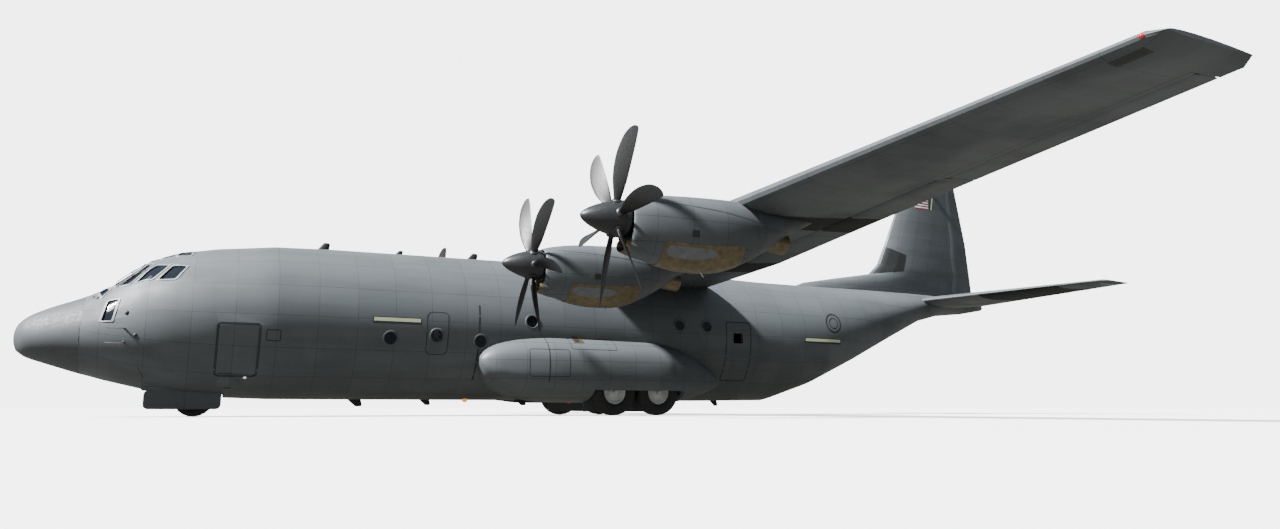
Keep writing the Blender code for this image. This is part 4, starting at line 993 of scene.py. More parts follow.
# nacelles
nacelle = {
    "engines": ((4.95, 4.04), (10.16, 4.30)),
    "sides": 48,
    # x, height above and depth below the thrust line, half width
    "rows": (
        (12.27, 0.425, 0.60, 0.43), (12.32, 0.46, 0.68, 0.47), (12.60, 0.53, 0.82, 0.53),
        (13.10, 0.61, 0.98, 0.58), (13.70, 0.65, 1.06, 0.60), (14.50, 0.68, 1.03, 0.60),
        (15.20, 0.68, 0.80, 0.56), (15.90, 0.60, 0.42, 0.46), (16.60, 0.52, -0.02, 0.30),
        (17.10, 0.54, -0.27, 0.17), (17.60, 0.58, -0.52, 0.04),
    ),
    # the intake under the spinner: x, drop of its middle, half width, half height
    "chin": (
        (12.62, 0.58, 0.17, 0.075), (12.30, 0.575, 0.215, 0.095), (12.20, 0.575, 0.235, 0.110),
        (12.165, 0.578, 0.255, 0.130), (12.19, 0.582, 0.275, 0.150), (12.27, 0.59, 0.295, 0.172),
        (12.50, 0.61, 0.325, 0.220), (12.80, 0.62, 0.350, 0.265), (13.20, 0.60, 0.360, 0.290),
    ),
    # patches of bare metal: x, first and last degrees round the thrust line
    "belly": ((12.96, 216.0, 324.0), (13.02, 210.0, 330.0), (13.14, 207.0, 333.0), (14.40, 205.0, 335.0),
              (14.92, 206.0, 334.0), (15.02, 209.0, 331.0), (15.05, 216.0, 324.0)),
    "silver": ((13.04, 221.0, 224.0), (13.08, 215.0, 229.0), (13.20, 212.0, 231.0), (13.60, 210.5, 230.0),
               (13.95, 210.5, 227.0), (14.22, 212.0, 223.0), (14.30, 216.0, 219.0)),
    "vent": ((13.62, 189.0, 197.0), (13.80, 189.0, 197.0)),
    "seams": (((12.62, 139.0), (13.00, 146.0), (13.60, 151.5), (14.40, 158.0), (15.10, 166.0),
               (15.60, 170.0)),
              ((15.62, 150.0), (15.64, 175.0), (15.62, 200.0), (15.50, 222.0))),
    "seamLine": 0.014,
    # turns the degrees of a seam line into a length
    "girthRadius": 0.65,
    # x, radius
    "pipe": ((15.72, 0.19), (16.10, 0.245), (16.46, 0.255), (16.50, 0.250), (16.47, 0.235), (16.10, 0.225)),
    "pipeDrop": 0.13,
    "pipeWay": (1, 0, -0.10),
    # x, degrees round the thrust line, distance off the skin
    "drain": ((14.1, 262, 0.0), (14.16, 262, 0.12)),
}


def nacelleSpot(x, turn, y, z, out=0.0, power=2 / 2.3):
    above, below, half = between(nacelle["smooth"], x)
    c, s = math.cos(turn), math.sin(turn)
    middle = max(0.0, (above - below) / 2)
    reach = (above + out if s > 0 else -below - out) - middle
    return place(x, y + math.copysign((half + out) * abs(c) ** power, c),
                 z + middle + reach * abs(s) ** power)


def nacellePatch(name, y, z, rows, out, finishName, steps=(3, 16), mirrored=False):
    rings = []
    for x, start, end in smoothRows(rows, steps[0]):
        turns = [start + (end - start) * k / steps[1] for k in range(steps[1] + 1)]
        rings.append([nacelleSpot(x, math.radians(540 - turn if mirrored else turn), y, z, out)
                      for turn in turns])
    points, faces = loftRings(rings, False, False)
    return addPiece(name, points, faces, finishName)


def nacelleLine(path, y, z, mirrored):
    girth = nacelle["girthRadius"]
    rows = ribbonRows([(x, math.radians(turn) * girth) for x, turn in smoothRows(path, 5)],
                      nacelle["seamLine"])
    rings = [[nacelleSpot(x, math.pi * 3 - arc / girth if mirrored else arc / girth, y, z, 0.005)
              for x, arc in row] for row in rows]
    return loftRings(rings, False, False)


def makeNacelle(name, y, z):
    sides = nacelle["sides"]
    turns = turnsRound(sides, 0.5)
    rings = [[nacelleSpot(nacelle["rows"][0][0], t, y, z, out) + Vector((shift, 0, 0)) for t in turns]
             for shift, out in ((0.07, -0.03), (0.012, -0.022), (0.0, -0.008))]
    rings += [[nacelleSpot(row[0], t, y, z) for t in turns] for row in nacelle["smooth"]]
    points, faces = loftRings(rings, endsClosed=False)
    faces.append(tuple((len(rings) - 1) * sides + i for i in range(sides)))
    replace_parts(addPiece(f"nacelleSkin_{name}", points, faces, "pod", crisp=40), f"nacelle_{name}")
    # a black ring fills the nacelle's open front behind the spinner: painted shade
    disc = [[nacelleSpot(12.32, t, y, z, -0.05) for t in turns],
            [nacelleSpot(12.33, t, y, z, -0.40) for t in turns]]
    addPiece(f"nacelleFront_{name}", *loftRings(disc, endsClosed=False), "dark")

    def oval(x, drop, halfWidth, halfHeight):
        return [place(x, y + math.copysign(halfWidth * abs(math.cos(t)) ** 0.9, math.cos(t)),
                      z - drop + math.copysign(halfHeight * abs(math.sin(t)) ** 0.9, math.sin(t)))
                for t in turnsRound(32, 0.5)]

    chin = [oval(*row) for row in nacelle["chin"]]
    # the duct's walls and the cap that closes it are black: painted shade in the intake's mouth
    addPiece(f"intakeDuct_{name}", *loftRings(chin[:2], endsClosed=False), "dark")
    addPiece(f"intakeLip_{name}", *loftRings(chin[1:6], endsClosed=False), "bronze", crisp=60)
    addPiece(f"intakeChin_{name}", *loftRings(chin[5:], endsClosed=False), "pod", crisp=60)
    last = nacelle["chin"][0]
    addPiece(f"intakeBack_{name}", *loftRings([chin[0], oval(last[0] + 0.01, last[1], 0.01, 0.01)],
                                              endsClosed=False), "dark")
    nacellePatch(f"bellyMetal_{name}", y, z, nacelle["belly"], 0.008, "bronze", (3, 28))
    lines = []
    for part, mirrored in (("a", False), ("b", True)):
        nacellePatch(f"bellySilver{part}_{name}", y, z, nacelle["silver"], 0.012, "silver", (3, 5), mirrored)
        nacellePatch(f"nacelleVent{part}_{name}", y, z, nacelle["vent"], 0.006, "dark", (3, 3), mirrored)
        lines += [nacelleLine(path, y, z, mirrored) for path in nacelle["seams"]]
    addPiece(f"nacelleSeams_{name}", *join(*lines), "rim")
    # a drain under the belly and the exhaust at the rear, below the wing
    drain = [nacelleSpot(x, math.radians(turn), y, z, out) for x, turn, out in nacelle["drain"]]
    addPiece(f"nacelleDrain_{name}", *tube(drain, 0.008, 10), "steel")
    start, way = nacelle["pipe"][0][0], nacelle["pipeWay"]
    shape = turned([((x - start) * 0.5, radius * 0.5) for x, radius in nacelle["pipe"]],
                   place(start, y, z - nacelle["pipeDrop"]), way, 32, False)
    addPiece(f"exhaustPipe_{name}", *shape, "bronze", crisp=50)
    # a black disc closes the pipe a little inside: soot and painted shade in its depth
    shape = turned(((0.0, 0.112), (0.001, 0.002)), place(16.12, y, z - 0.168), way, 32, False)
    addPiece(f"exhaustDark_{name}", *shape, "dark")


nacelle["smooth"] = smoothRows(nacelle["rows"], 4)


# propellers
propeller = {
    "axisX": 11.99,
    "spinner": ((11.185, 0.0), (11.20, 0.045), (11.25, 0.10), (11.34, 0.165), (11.48, 0.235),
                (11.66, 0.305), (11.86, 0.36), (12.05, 0.40), (12.20, 0.418), (12.232, 0.415),
                (12.235, 0.30)),
    # distance out, chord, thickness, pitch in degrees, sweep
    "blade": ((0.28, 0.15, 0.13, 62, 0.0), (0.40, 0.155, 0.115, 60, 0.0), (0.52, 0.20, 0.090, 57, -0.005),
              (0.85, 0.33, 0.062, 48, -0.02), (1.15, 0.39, 0.050, 42, -0.02), (1.45, 0.41, 0.040, 37, 0.0),
              (1.75, 0.37, 0.030, 32, 0.05), (1.92, 0.29, 0.022, 30, 0.10), (2.02, 0.19, 0.016, 29, 0.145),
              (2.055, 0.08, 0.010, 28, 0.165)),
    # turned parts as (along, radius) in model metres
    "collar": ((0.0, 0.058), (0.012, 0.060), (0.022, 0.052), (0.028, 0.044)),
    "band": ((0.0, 0.2065), (0.002, 0.2075), (0.006, 0.2075), (0.008, 0.2065)),
    "phase": {"port_outer": 22.0, "port_inner": 38.0, "starboard_inner": 8.0, "starboard_outer": 15.0},
}


def bladeShape(y, z, turn):
    out, side = Vector((0, math.cos(turn), math.sin(turn))), Vector((0, -math.sin(turn), math.cos(turn)))
    outline = []
    for t in turnsRound(16):
        along = -0.5 * math.cos(t)
        across = math.sin(t) * (0.5 if math.sin(t) > 0 else 0.28) * (1.0 - 0.5 * (along + 0.5)) * 1.3
        outline.append((along, across))
    rings = []
    for reach, chord, thick, pitch, sweep in smoothRows(propeller["blade"], 3):
        angle = math.radians(pitch)
        ring = []
        for along, across in outline:
            a, b = along * chord + sweep, across * thick
            tangent = a * math.cos(angle) - b * math.sin(angle)
            back = a * math.sin(angle) + b * math.cos(angle)
            spot = out * reach + side * tangent
            ring.append(place(propeller["axisX"] + back, y + spot.y, z + spot.z))
        rings.append(ring)
    return loftRings(rings)


def makePropeller(name, y, z):
    blades, collars = [], []
    for n in range(6):
        turn = math.radians(90 + propeller["phase"][name] + 60 * n)
        blades.append(bladeShape(y, z, turn))
        out = Vector((0, math.cos(turn), math.sin(turn)))
        base = place(propeller["axisX"], y + out.y * 0.36, z + out.z * 0.36)
        collars.append(turned(propeller["collar"], base, out, 24))
    piece = addPiece(f"blades_{name}", *join(*blades), "blade", f"propeller_{name}", crisp=60)
    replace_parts(piece, f"propeller_{name}")
    addPiece(f"bladeCollars_{name}", *join(*collars), "spinner", f"propeller_{name}", crisp=40)
    rows = smoothRows(propeller["spinner"][:-2], 3) + list(propeller["spinner"][-2:])
    profile = [((x - rows[0][0]) * plane["modelScale"], r * plane["modelScale"]) for x, r in rows]
    addPiece(f"spinner_{name}", *turned(profile, place(rows[0][0], y, z), (1, 0, 0), 48), "spinner",
             f"propeller_{name}", crisp=50)
    seam = turned(propeller["band"], place(12.10, y, z), (1, 0, 0), 48, False)
    addPiece(f"spinnerBand_{name}", *seam, "outline", f"propeller_{name}")


for side, sideName in bothNames:
    for part, (y, z) in zip(("inner", "outer"), nacelle["engines"]):
        makeNacelle(f"{sideName}_{part}", side * y, z)
        makePropeller(f"{sideName}_{part}", side * y, z)
print("nacelles and propellers done")

# wheels
wheels = {
    "main": {"radius": 0.71, "width": 0.50, "rim": 0.36, "sideways": 2.175, "turns": 24},
    "nose": {"radius": 0.495, "width": 0.33, "rim": 0.25, "sideways": 0.265, "turns": 22},
    # the dish of a wheel as shares of half its width and of its rim, outer and inner face
    "dishOut": ((-0.70, 0.96), (-0.66, 1.0), (0.66, 1.0), (0.72, 0.97), (0.66, 0.88), (0.42, 0.80),
                (0.34, 0.55), (0.46, 0.44), (0.60, 0.36)),
    "dishIn": ((0.58, 0.5), (0.40, 0.82), (0.66, 0.90)),
    "bore": 0.062,
}


def tyreProfile(size):
    # tyre section from one bead, over the tread with its grooves, to the other, as shares of the half width
    radius, rim = size["radius"], size["rim"]
    wall = radius - rim
    half = ((0.66, rim), (0.90, rim + wall * 0.20), (1.0, rim + wall * 0.50), (0.93, rim + wall * 0.80),
            (0.72, radius - 0.020), (0.44, radius - 0.004), (0.42, radius - 0.018), (0.36, radius - 0.018),
            (0.34, radius - 0.001), (0.05, radius), (0.03, radius - 0.015))
    rows = [(-share, reach) for share, reach in half] + list(reversed(half))
    return [(share * size["width"] / 2, reach) for share, reach in rows]


def makeWheel(name, body, size, x, outward):
    centre = place(x, outward * size["sideways"], size["radius"])
    profile = [(a * 0.5, r * 0.5) for a, r in tyreProfile(size)]
    tread = turned(profile, centre, (0, 1, 0), size["turns"], False)
    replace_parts(addPiece(f"tyre_{name}", *tread, "tyre", body, crisp=50), name)
    half, rim = size["width"] / 2, size["rim"]
    dish = [(half * across, rim * out) for across, out in wheels["dishOut"]]
    dish += [(half * 0.62, wheels["bore"]), (-half * 0.60, wheels["bore"])]
    dish += [(-half * across, rim * out) for across, out in wheels["dishIn"]]
    shape = turned([(a * 0.5, r * 0.5) for a, r in dish + dish[:1]], centre, (0, outward, 0), 36, False)
    bolts = []
    for turn in turnsRound(9):
        base = centre + Vector((math.cos(turn) * rim * 0.34, outward * half * 0.19,
                                math.sin(turn) * rim * 0.34))
        bolts.append(turned(((0.0, 0.010), (0.007, 0.010), (0.009, 0.007)), base, (0, outward, 0), 6))
    addPiece(f"hub_{name}", *join(shape, *bolts), "wheel", body, crisp=35)


for side, sideName in bothNames:
    for part, x in (("front", 15.75), ("rear", 17.27)):
        wheel = f"main_wheel_{sideName}_{part}"
        makeWheel(wheel, wheel, wheels["main"], x, side)
    makeWheel(f"nose_wheel_{sideName}", "nose_wheels", wheels["nose"], 4.19, side)
print("wheels done")

# nose cap
radome = {
    "sides": 64,
    "end": 1.50,
    "tip": ((0.0, 0.012), (0.006, 0.095), (0.020, 0.180), (0.045, 0.272)),
    "jointWidth": 0.012,
}


def makeRadome():
    rows = [[x, half, 2.0 + half * 0.95, 2.0 - half * 0.95, 2.0, 2.0] for x, half in radome["tip"]]
    rows += smoothRows(hull["rows"][1:6], 6)
    rings = []
    for row in rows:
        if row[0] <= radome["end"] + 0.001:
            ring = []
            for turn in turnsRound(radome["sides"], 0.5):
                c, s = math.cos(turn), math.sin(turn)
                ring.append(place(row[0], row[1] * c,
                                  row[4] + (row[2] - row[4] if s > 0 else row[4] - row[3]) * s))
            rings.append(ring)
    skin = addPiece("radomeSkin", *loftRings(rings), "radome", crisp=60)
    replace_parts(skin, "nose_radome")
    start, width = radome["end"], radome["jointWidth"]
    band = [[hullAt(x, degrees, out) for degrees in (k * 5.625 for k in range(64))]
            for x, out in ((start, 0.002), (start + 0.002, 0.005), (start + width, 0.005),
                           (start + width + 0.002, 0.001))]
    addPiece("radomeJoint", *loftRings(band, endsClosed=False), "rim")


# probes, lights and aerials on the hull
fittings = {
    # x, degrees round the hull, radius, height
    "discs": ((1.71, 125.7, 0.050, 0.014), (1.81, 131.5, 0.050, 0.014), (2.53, 170.4, 0.058, 0.016),
              (2.76, 191.8, 0.052, 0.016)),
    "paleDiscs": ((5.34, 227.1, 0.045, 0.008),),
    # x, degrees, radius, height of the low bulge below the crew door, and its slot
    "bulge": (4.95, 234.5, 0.30, 0.035),
    "bulgeSlot": (4.86, 5.04, 237.2, 238.8),
    "wingLights": (15.45, 6.91, 0.030, 0.006),
    # x, length, degrees, turn, half width in degrees
    "slit": (2.85, 0.14, 223.2, 12, 0.7),
    "pitots": ((2.50, 184.6), (2.50, 197.0)),
    # distance off the skin, ahead, radius
    "pitotTube": ((-0.01, 0, 0.013), (0.045, 0, 0.011), (0.062, 0.012, 0.010), (0.068, 0.04, 0.009),
                  (0.070, 0.17, 0.0075), (0.070, 0.20, 0.004)),
    # x, degrees, length, height: swept blade aerials
    "aerials": ((7.10, 90.0, 0.34, 0.24), (9.35, 90.0, 0.24, 0.15), (11.60, 90.0, 0.34, 0.22),
                (14.05, 90.0, 0.40, 0.20), (8.20, 270.0, 0.38, 0.20), (10.30, 270.0, 0.30, 0.16),
                (13.20, 262.0, 0.34, 0.18), (17.95, 261.0, 0.42, 0.24), (20.60, 270.0, 0.30, 0.18)),
    "beacons": ((11.60, 262.0, "lampAmber"), (19.0, 90.0, "lampRed"), (15.2, 270.0, "lampRed")),
    "wipers": ((2.14, 99.0, 2.62, 103.5), (2.22, 128.5, 2.66, 123.0)),
}


def hullOut(x, degrees):
    return (hullAt(x, degrees, 0.2) - hullAt(x, degrees, 0.0)).normalized()


def dome(centre, axis, radius, height, sides=20):
    profile = [(0.0, radius), (height * 0.35, radius * 0.96), (height * 0.75, radius * 0.72),
               (height, radius * 0.3), (height * 1.03, 0.0)]
    return turned(profile, Vector(centre) - Vector(axis).normalized() * radius * 0.1, axis, sides)


def bladeAerial(base, outward, length, height, sweep=0.6, width=0.035):
    # a thin swept blade standing on the skin, in model metres
    outward = Vector(outward).normalized()
    along = Vector((1, 0, 0))
    across = outward.cross(along).normalized()
    rings = []
    for share, size in ((-0.15, 1.0), (0.0, 1.0), (0.5, 0.78), (0.85, 0.58), (0.97, 0.46), (1.0, 0.34)):
        start = base + outward * height * share + along * length * sweep * max(share, 0)
        ring = []
        for t in turnsRound(12):
            ring.append(start + along * length * size * (0.5 - 0.5 * math.cos(t))
                        + across * width * size * 0.5 * math.sin(t))
        rings.append(ring)
    return loftRings(rings)


def domesAt(rows):
    return [dome(hullAt(x, turn), hullOut(x, turn), radius / 2, height)
            for x, degrees, radius, height in rows for turn in (degrees, 180 - degrees)]


def bulgeAt(x, degrees, lift=0.0):
    middle, turn, radius, height = fittings["bulge"]
    away = math.hypot(x - middle, math.radians(degrees - turn) * plane["hullRadius"]) / radius
    return hullAt(x, degrees, height * max(0.0, 1 - away * away) ** 0.7 * 2 + lift)


def makeBulge():
    middle, turn, radius, _ = fittings["bulge"]
    rings = []
    for share in (0.02, 0.3, 0.55, 0.75, 0.88, 0.96, 1.0, 1.03):
        lift, ring = 0.003 if share <= 1 else -0.01, []
        for t in turnsRound(40):
            arc = math.degrees(radius * share * math.sin(t) / plane["hullRadius"])
            ring.append(bulgeAt(middle + radius * share * math.cos(t), turn + arc, lift))
        rings.append(ring)
    addPiece("noseBulge", *loftRings(rings), "hull", crisp=60)
    x0, x1, low, high = fittings["bulgeSlot"]
    slot = [[bulgeAt(x0 + (x1 - x0) * k / 8, degrees, 0.006) for k in range(9)]
            for degrees in (low, (low + high) / 2, high)]
    addPiece("noseBulgeSlot", *loftRings(slot, False, False), "outline")


def makeFittings():
    makeBulge()
    tubes, wipers = [], []
    for x, degrees in fittings["pitots"]:
        for turn in (degrees, 180 - degrees):
            foot, out = hullAt(x, turn), hullOut(x, turn)
            path = [foot + out * rise + Vector((-ahead, 0, 0)) for rise, ahead, _ in fittings["pitotTube"]]
            tubes.append(tube(path, [radius for _, _, radius in fittings["pitotTube"]], 12))
    for x, degrees, tip, tipDegrees in fittings["wipers"]:
        for mirrored in (False, True):
            a, b = (180 - degrees, 180 - tipDegrees) if mirrored else (degrees, tipDegrees)
            path = [hullAt(x + (tip - x) * k / 8, a + (b - a) * k / 8,
                           0.035 + 0.02 * math.sin(math.pi * k / 8)) for k in range(9)]
            wipers.append(tube(path, 0.005, 8))
            middle = [hullAt(tip - 0.16 + 0.32 * k / 6, b + (k - 3) * 0.9, 0.028) for k in range(7)]
            wipers.append(tube(middle, 0.0045, 6))
    aerials = [bladeAerial(hullAt(x, degrees), hullOut(x, degrees), length / 2, height / 2)
               for x, degrees, length, height in fittings["aerials"]]
    addPiece("sensorDiscs", *join(*domesAt(fittings["discs"])), "dark", crisp=50)
    addPiece("paleLights", *join(*domesAt(fittings["paleDiscs"])), "lampPale", crisp=50)
    addPiece("pitotTubes", *join(*tubes), "steel", crisp=50)
    addPiece("windscreenWipers", *join(*wipers), "dark", crisp=50)
    addPiece("hullAerials", *join(*aerials), "outline", crisp=40)
    for side, name in bothNames:
        spot = lay("fin", place(31.0, side * 2.0, 9.72), (0, -side, 0), 0.0)
        addPiece(f"finAerial_{name}", *bladeAerial(spot, (0.25, side, 0.1), 0.22, 0.16, 0.9, 0.03), "rim",
                 crisp=40)
    for n, (x, degrees, lamp) in enumerate(fittings["beacons"]):
        addPiece(f"beacon_{n}", *dome(hullAt(x, degrees), hullOut(x, degrees), 0.045, 0.05), lamp)
    x, length, degrees, turn, half = fittings["slit"]
    slit = [[hullAt(x + length * k / 6, degrees + turn * k / 6 + edge, 0.004) for k in range(7)]
            for edge in (-half, half)]
    x, y, radius, height = fittings["wingLights"]
    for side, name in bothNames:
        spot = lay("wing", place(x, side * y, 3.0), (0, 0, 1), 0.0)
        addPiece(f"wingLight_{name}", *dome(spot, (0, 0, -1), radius, height), "lampPale", crisp=50)
    addPiece("noseSlit", *loftRings(slit, False, False), "outline")


# lights and static wicks at the tips
tips = {
    "wingLamp": (14.9, 19.94, 5.32),
    "finBeacon": (32.15, 0, 11.835),
    "tailLamp": (34.33, 0, 4.50),
    # how far out, or up, each wick stands
    "aileronWicks": [12.9 + 1.35 * k for k in range(5)],
    "elevatorWicks": [3.4 + 0.9 * k for k in range(4)],
    "rudderWicks": [6.2 + 1.1 * k for k in range(5)],
}


def wickRow(name, node, body, starts, trail):
    # static wicks behind a moving surface
    ends = [throw((node,), start, (-1, 0, 0)) for start in starts]
    wicks = [tube([end, end + Vector(trail)], 0.0022, 6) for end in ends if end is not None]
    addPiece(name, *join(*wicks), "outline", body)


def makeTips():
    for side, name, lamp in ((-1, "port", "lampRed"), (1, "starboard", "lampGreen")):
        x, y, z = tips["wingLamp"]
        spot = lay("wing", place(x, side * y, z), (1, 0, 0), 0.0)
        addPiece(f"wingTipLamp_{name}", *dome(spot, (-1, 0, 0.1), 0.018, 0.022), lamp)
        wickRow(f"aileronWicks_{name}", f"aileron_{name}", f"aileron_{name}",
                [place(24.0, side * y, 4.45 + 0.04366 * y) for y in tips["aileronWicks"]], (0.10, 0, -0.004))
        wickRow(f"elevatorWicks_{name}", f"elevator_{name}", "elevators",
                [place(36.0, side * y, 4.50) for y in tips["elevatorWicks"]], (0.09, 0, 0))
    wickRow("rudderWicks", "rudder", "rudder", [place(36.0, 0.0, z) for z in tips["rudderWicks"]],
            (0.08, 0, 0.012))
    addPiece("finBeacon", *dome(place(*tips["finBeacon"]), (0, 0, 1), 0.04, 0.045), "lampRed")
    addPiece("tailLamp", *dome(place(*tips["tailLamp"]), (1, 0, 0), 0.035, 0.03), "lampPale")


def throw(names, start, direction):
    # where a line meets some CAD nodes
    hit, _, _, _ = skinTree(names).ray_cast(Vector(start), Vector(direction).normalized())
    return hit


# thin lips over the slots in front of the flaps, ailerons, elevators and rudder
lips = {
    # moving node, what it hangs on, outward ways, joint whose hinge line the lip must stay ahead of
    "surfaces": (
        ("flap_inner_port", "wing", ((0, 0, 1),), None), ("flap_outer_port", "wing", ((0, 0, 1),), None),
        ("flap_inner_starboard", "wing", ((0, 0, 1),), None),
        ("flap_outer_starboard", "wing", ((0, 0, 1),), None),
        ("aileron_port", "wing", ((0, 0, 1), (0, 0, -1)), "aileron_port_tilt"),
        ("aileron_starboard", "wing", ((0, 0, 1), (0, 0, -1)), "aileron_starboard_tilt"),
        ("elevator_port", "tail", ((0, 0, 1), (0, 0, -1)), "elevator_tilt"),
        ("elevator_starboard", "tail", ((0, 0, 1), (0, 0, -1)), "elevator_tilt"),
        ("rudder", "fin", ((0, 1, 0), (0, -1, 0)), "rudder_turn"),
    ),
    "stations": 18,
    "endGap": 0.004,
    "hingeGap": 0.004,
    "step": 0.002,
    "search": 0.16,
    "clearance": 0.004,
}


def hingeAt(jointName, station, way, height):
    joint = next(j for j in frame["record"]["behaviour"]["joints"] if j["name"] == jointName)
    along = (station - joint["pos_m"][way]) / joint["axis"][way]
    return (joint["pos_m"][0] + joint["axis"][0] * along,
            joint["pos_m"][height] + joint["axis"][height] * along,
            max(abs(v) for v in joint["range_deg"]))


def sweptLevels(points, hingeX, hingeHeight, reach):
    # the highest the moving nose comes over each x, for every angle of the joint
    levels = {}
    for k in range(-6, 7):
        c, s = math.cos(math.radians(reach * k / 6)), math.sin(math.radians(reach * k / 6))
        for x, level in points:
            dx, dh = x - hingeX, level - hingeHeight
            slot = round((hingeX + dx * c - dh * s) / lips["step"])
            levels[slot] = max(levels.get(slot, -99.0), hingeHeight + dx * s + dh * c)
    return [(slot * lips["step"], levels[slot]) for slot in sorted(levels)]


def makeLip(node, skin, out, jointName):
    low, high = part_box(node)
    way, height = (2, 1) if out[1] else (1, 2)
    sign, moving = out[height], skinTree((node,))

    def surface(tree, x, station, side=1):
        start = [x, 0.0, 0.0]
        start[way] = station
        start[height] = (low[height] + high[height]) / 2 + sign * side * 0.5
        hit, _, _, _ = tree.ray_cast(Vector(start), -Vector(out) * side)
        return None if hit is None else hit[height] * sign

    rows, gap = [], lips["endGap"]
    for n in range(lips["stations"] + 1):
        station = low[way] + gap + (high[way] - low[way] - 2 * gap) * n / lips["stations"]
        spots = [(x, surface(moving, x, station))
                 for x in (low[0] - 0.1 + lips["step"] * k for k in range(400))]
        nose = next((x for x, level in spots if level is not None), None)
        if nose is None:
            continue
        edge = None
        for k in range(int(lips["search"] / lips["step"])):
            x = nose - 0.10 + lips["step"] * k
            level = surface(skins[skin], x, station)
            if level is not None and (edge is None or level > edge[1] - 0.008):
                edge = (x, level)
        before = edge and surface(skins[skin], edge[0] - 0.04, station)
        if before is None:
            continue
        slope = (edge[1] - before) / 0.04
        limit = edge[0] + 0.2
        if jointName:
            hingeX, hingeHeight, reach = hingeAt(jointName, station, way, height)
            limit = hingeX - lips["hingeGap"]
            near = [x for x, level in spots if level is not None and x < hingeX + 0.06]
            points = [(x, surface(moving, x, station, side)) for x in near for side in (1, -1)]
            spots = sweptLevels([spot for spot in points if spot[1] is not None], hingeX,
                                hingeHeight * sign, reach)
        end = None
        for x, level in spots:
            if level is not None and x > edge[0] and (end is None or x <= limit):
                line = edge[1] + slope * (x - edge[0])
                if jointName and end and level > line + 0.001:
                    break
                end = (x, level)
                if level > line - 0.003:
                    break
        if end is None:
            continue
        row = []
        for share in (-0.4, 0.0, 0.35, 0.7, 1.0):
            x = edge[0] + (end[0] - edge[0]) * share if share > 0 else edge[0] + 0.04 * share
            line = edge[1] + slope * (x - edge[0]) + 0.0012
            spot = [x, 0.0, 0.0]
            spot[way] = station
            drop = max(end[1] + lips["clearance"], line - 0.006) - line
            spot[height] = sign * (line + drop * max(share, 0) ** 2)
            row.append(Vector(spot))
        rows.append(row)
    return rows


def makeLips():
    for node, skin, outs, jointName in lips["surfaces"]:
        shapes = [loftRings(rows, False, False)
                  for rows in (makeLip(node, skin, out, jointName) for out in outs) if len(rows) > 1]
        if shapes:
            addPiece(f"lip_{node}", *join(*shapes), "fin" if skin == "fin" else "wing")


# the flight deck
cabin = {
    "seatY": 0.56,
    # middle x and z, and size of each cushion
    "cushions": ((3.26, 2.585, (0.46, 0.48, 0.17)), (3.50, 2.98, (0.15, 0.46, 0.62)),
                 (3.52, 3.36, (0.11, 0.26, 0.15))),
    # x from, x to, distance sideways, half width, z from, z to
    "seatFrame": ((3.06, 3.50, 0, 0.24, 2.46, 2.52), (3.15, 3.40, 0, 0.14, 2.15, 2.47),
                  (3.54, 3.60, 0, 0.22, 2.50, 3.30), (3.55, 3.58, 0, 0.09, 3.28, 3.42),
                  (3.14, 3.52, -0.27, 0.025, 2.76, 2.80), (3.46, 3.54, -0.27, 0.02, 2.50, 2.78),
                  (3.14, 3.52, 0.27, 0.025, 2.76, 2.80), (3.46, 3.54, 0.27, 0.02, 2.50, 2.78)),
    "belt": ((3.415, 0.11, 3.26), (3.405, 0.10, 3.00), (3.40, 0.06, 2.72), (3.30, 0.02, 2.68)),
    "column": ((2.78, 2.18), (2.80, 2.60), (2.76, 2.80)),
    "yoke": ((-0.17, 0.10), (-0.18, 0.0), (-0.10, -0.06), (0.0, -0.07), (0.10, -0.06), (0.18, 0.0),
             (0.17, 0.10)),
    "screens": ((-0.86, -0.56), (-0.50, -0.20), (0.20, 0.50), (0.56, 0.86)),
}


def pillow(centre, size, power=0.45, sides=20, rows=9):
    # a stuffed cushion: a rounded block in full-size metres
    def puffed(value):
        return math.copysign(abs(value) ** power, value)

    rings = []
    for r in range(rows + 1):
        tilt = -math.pi / 2 + math.pi * r / rows
        reach = abs(math.cos(tilt)) ** power
        rings.append([place(centre[0] + size[0] / 2 * reach * puffed(math.cos(t)),
                            centre[1] + size[1] / 2 * reach * puffed(math.sin(t)),
                            centre[2] + size[2] / 2 * puffed(math.sin(tilt)))
                      for t in turnsRound(sides, 0.5)])
    return loftRings(rings)


def fullBlock(low, high, bevel=0.01):
    return block(place(*low), place(*high), bevel)


def makeSeats():
    for side, name in bothNames:
        y = side * cabin["seatY"]
        cushions = [pillow((x, y, z), size) for x, z, size in cabin["cushions"]]
        cushion = addPiece(f"seatCushion_{name}", *join(*cushions), "cloth", crisp=80)
        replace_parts(cushion, f"seat_{name}")
        bars = [fullBlock((x0, y + away - half, z0), (x1, y + away + half, z1))
                for x0, x1, away, half, z0, z1 in cabin["seatFrame"]]
        addPiece(f"seatFrame_{name}", *join(*bars), "gear", crisp=35)
        belts = [tube([place(x, y + edge * away, z) for x, away, z in cabin["belt"]], 0.010, 8)
                 for edge in (-1, 1)]
        addPiece(f"seatBelts_{name}", *join(*belts), "outline", crisp=60)


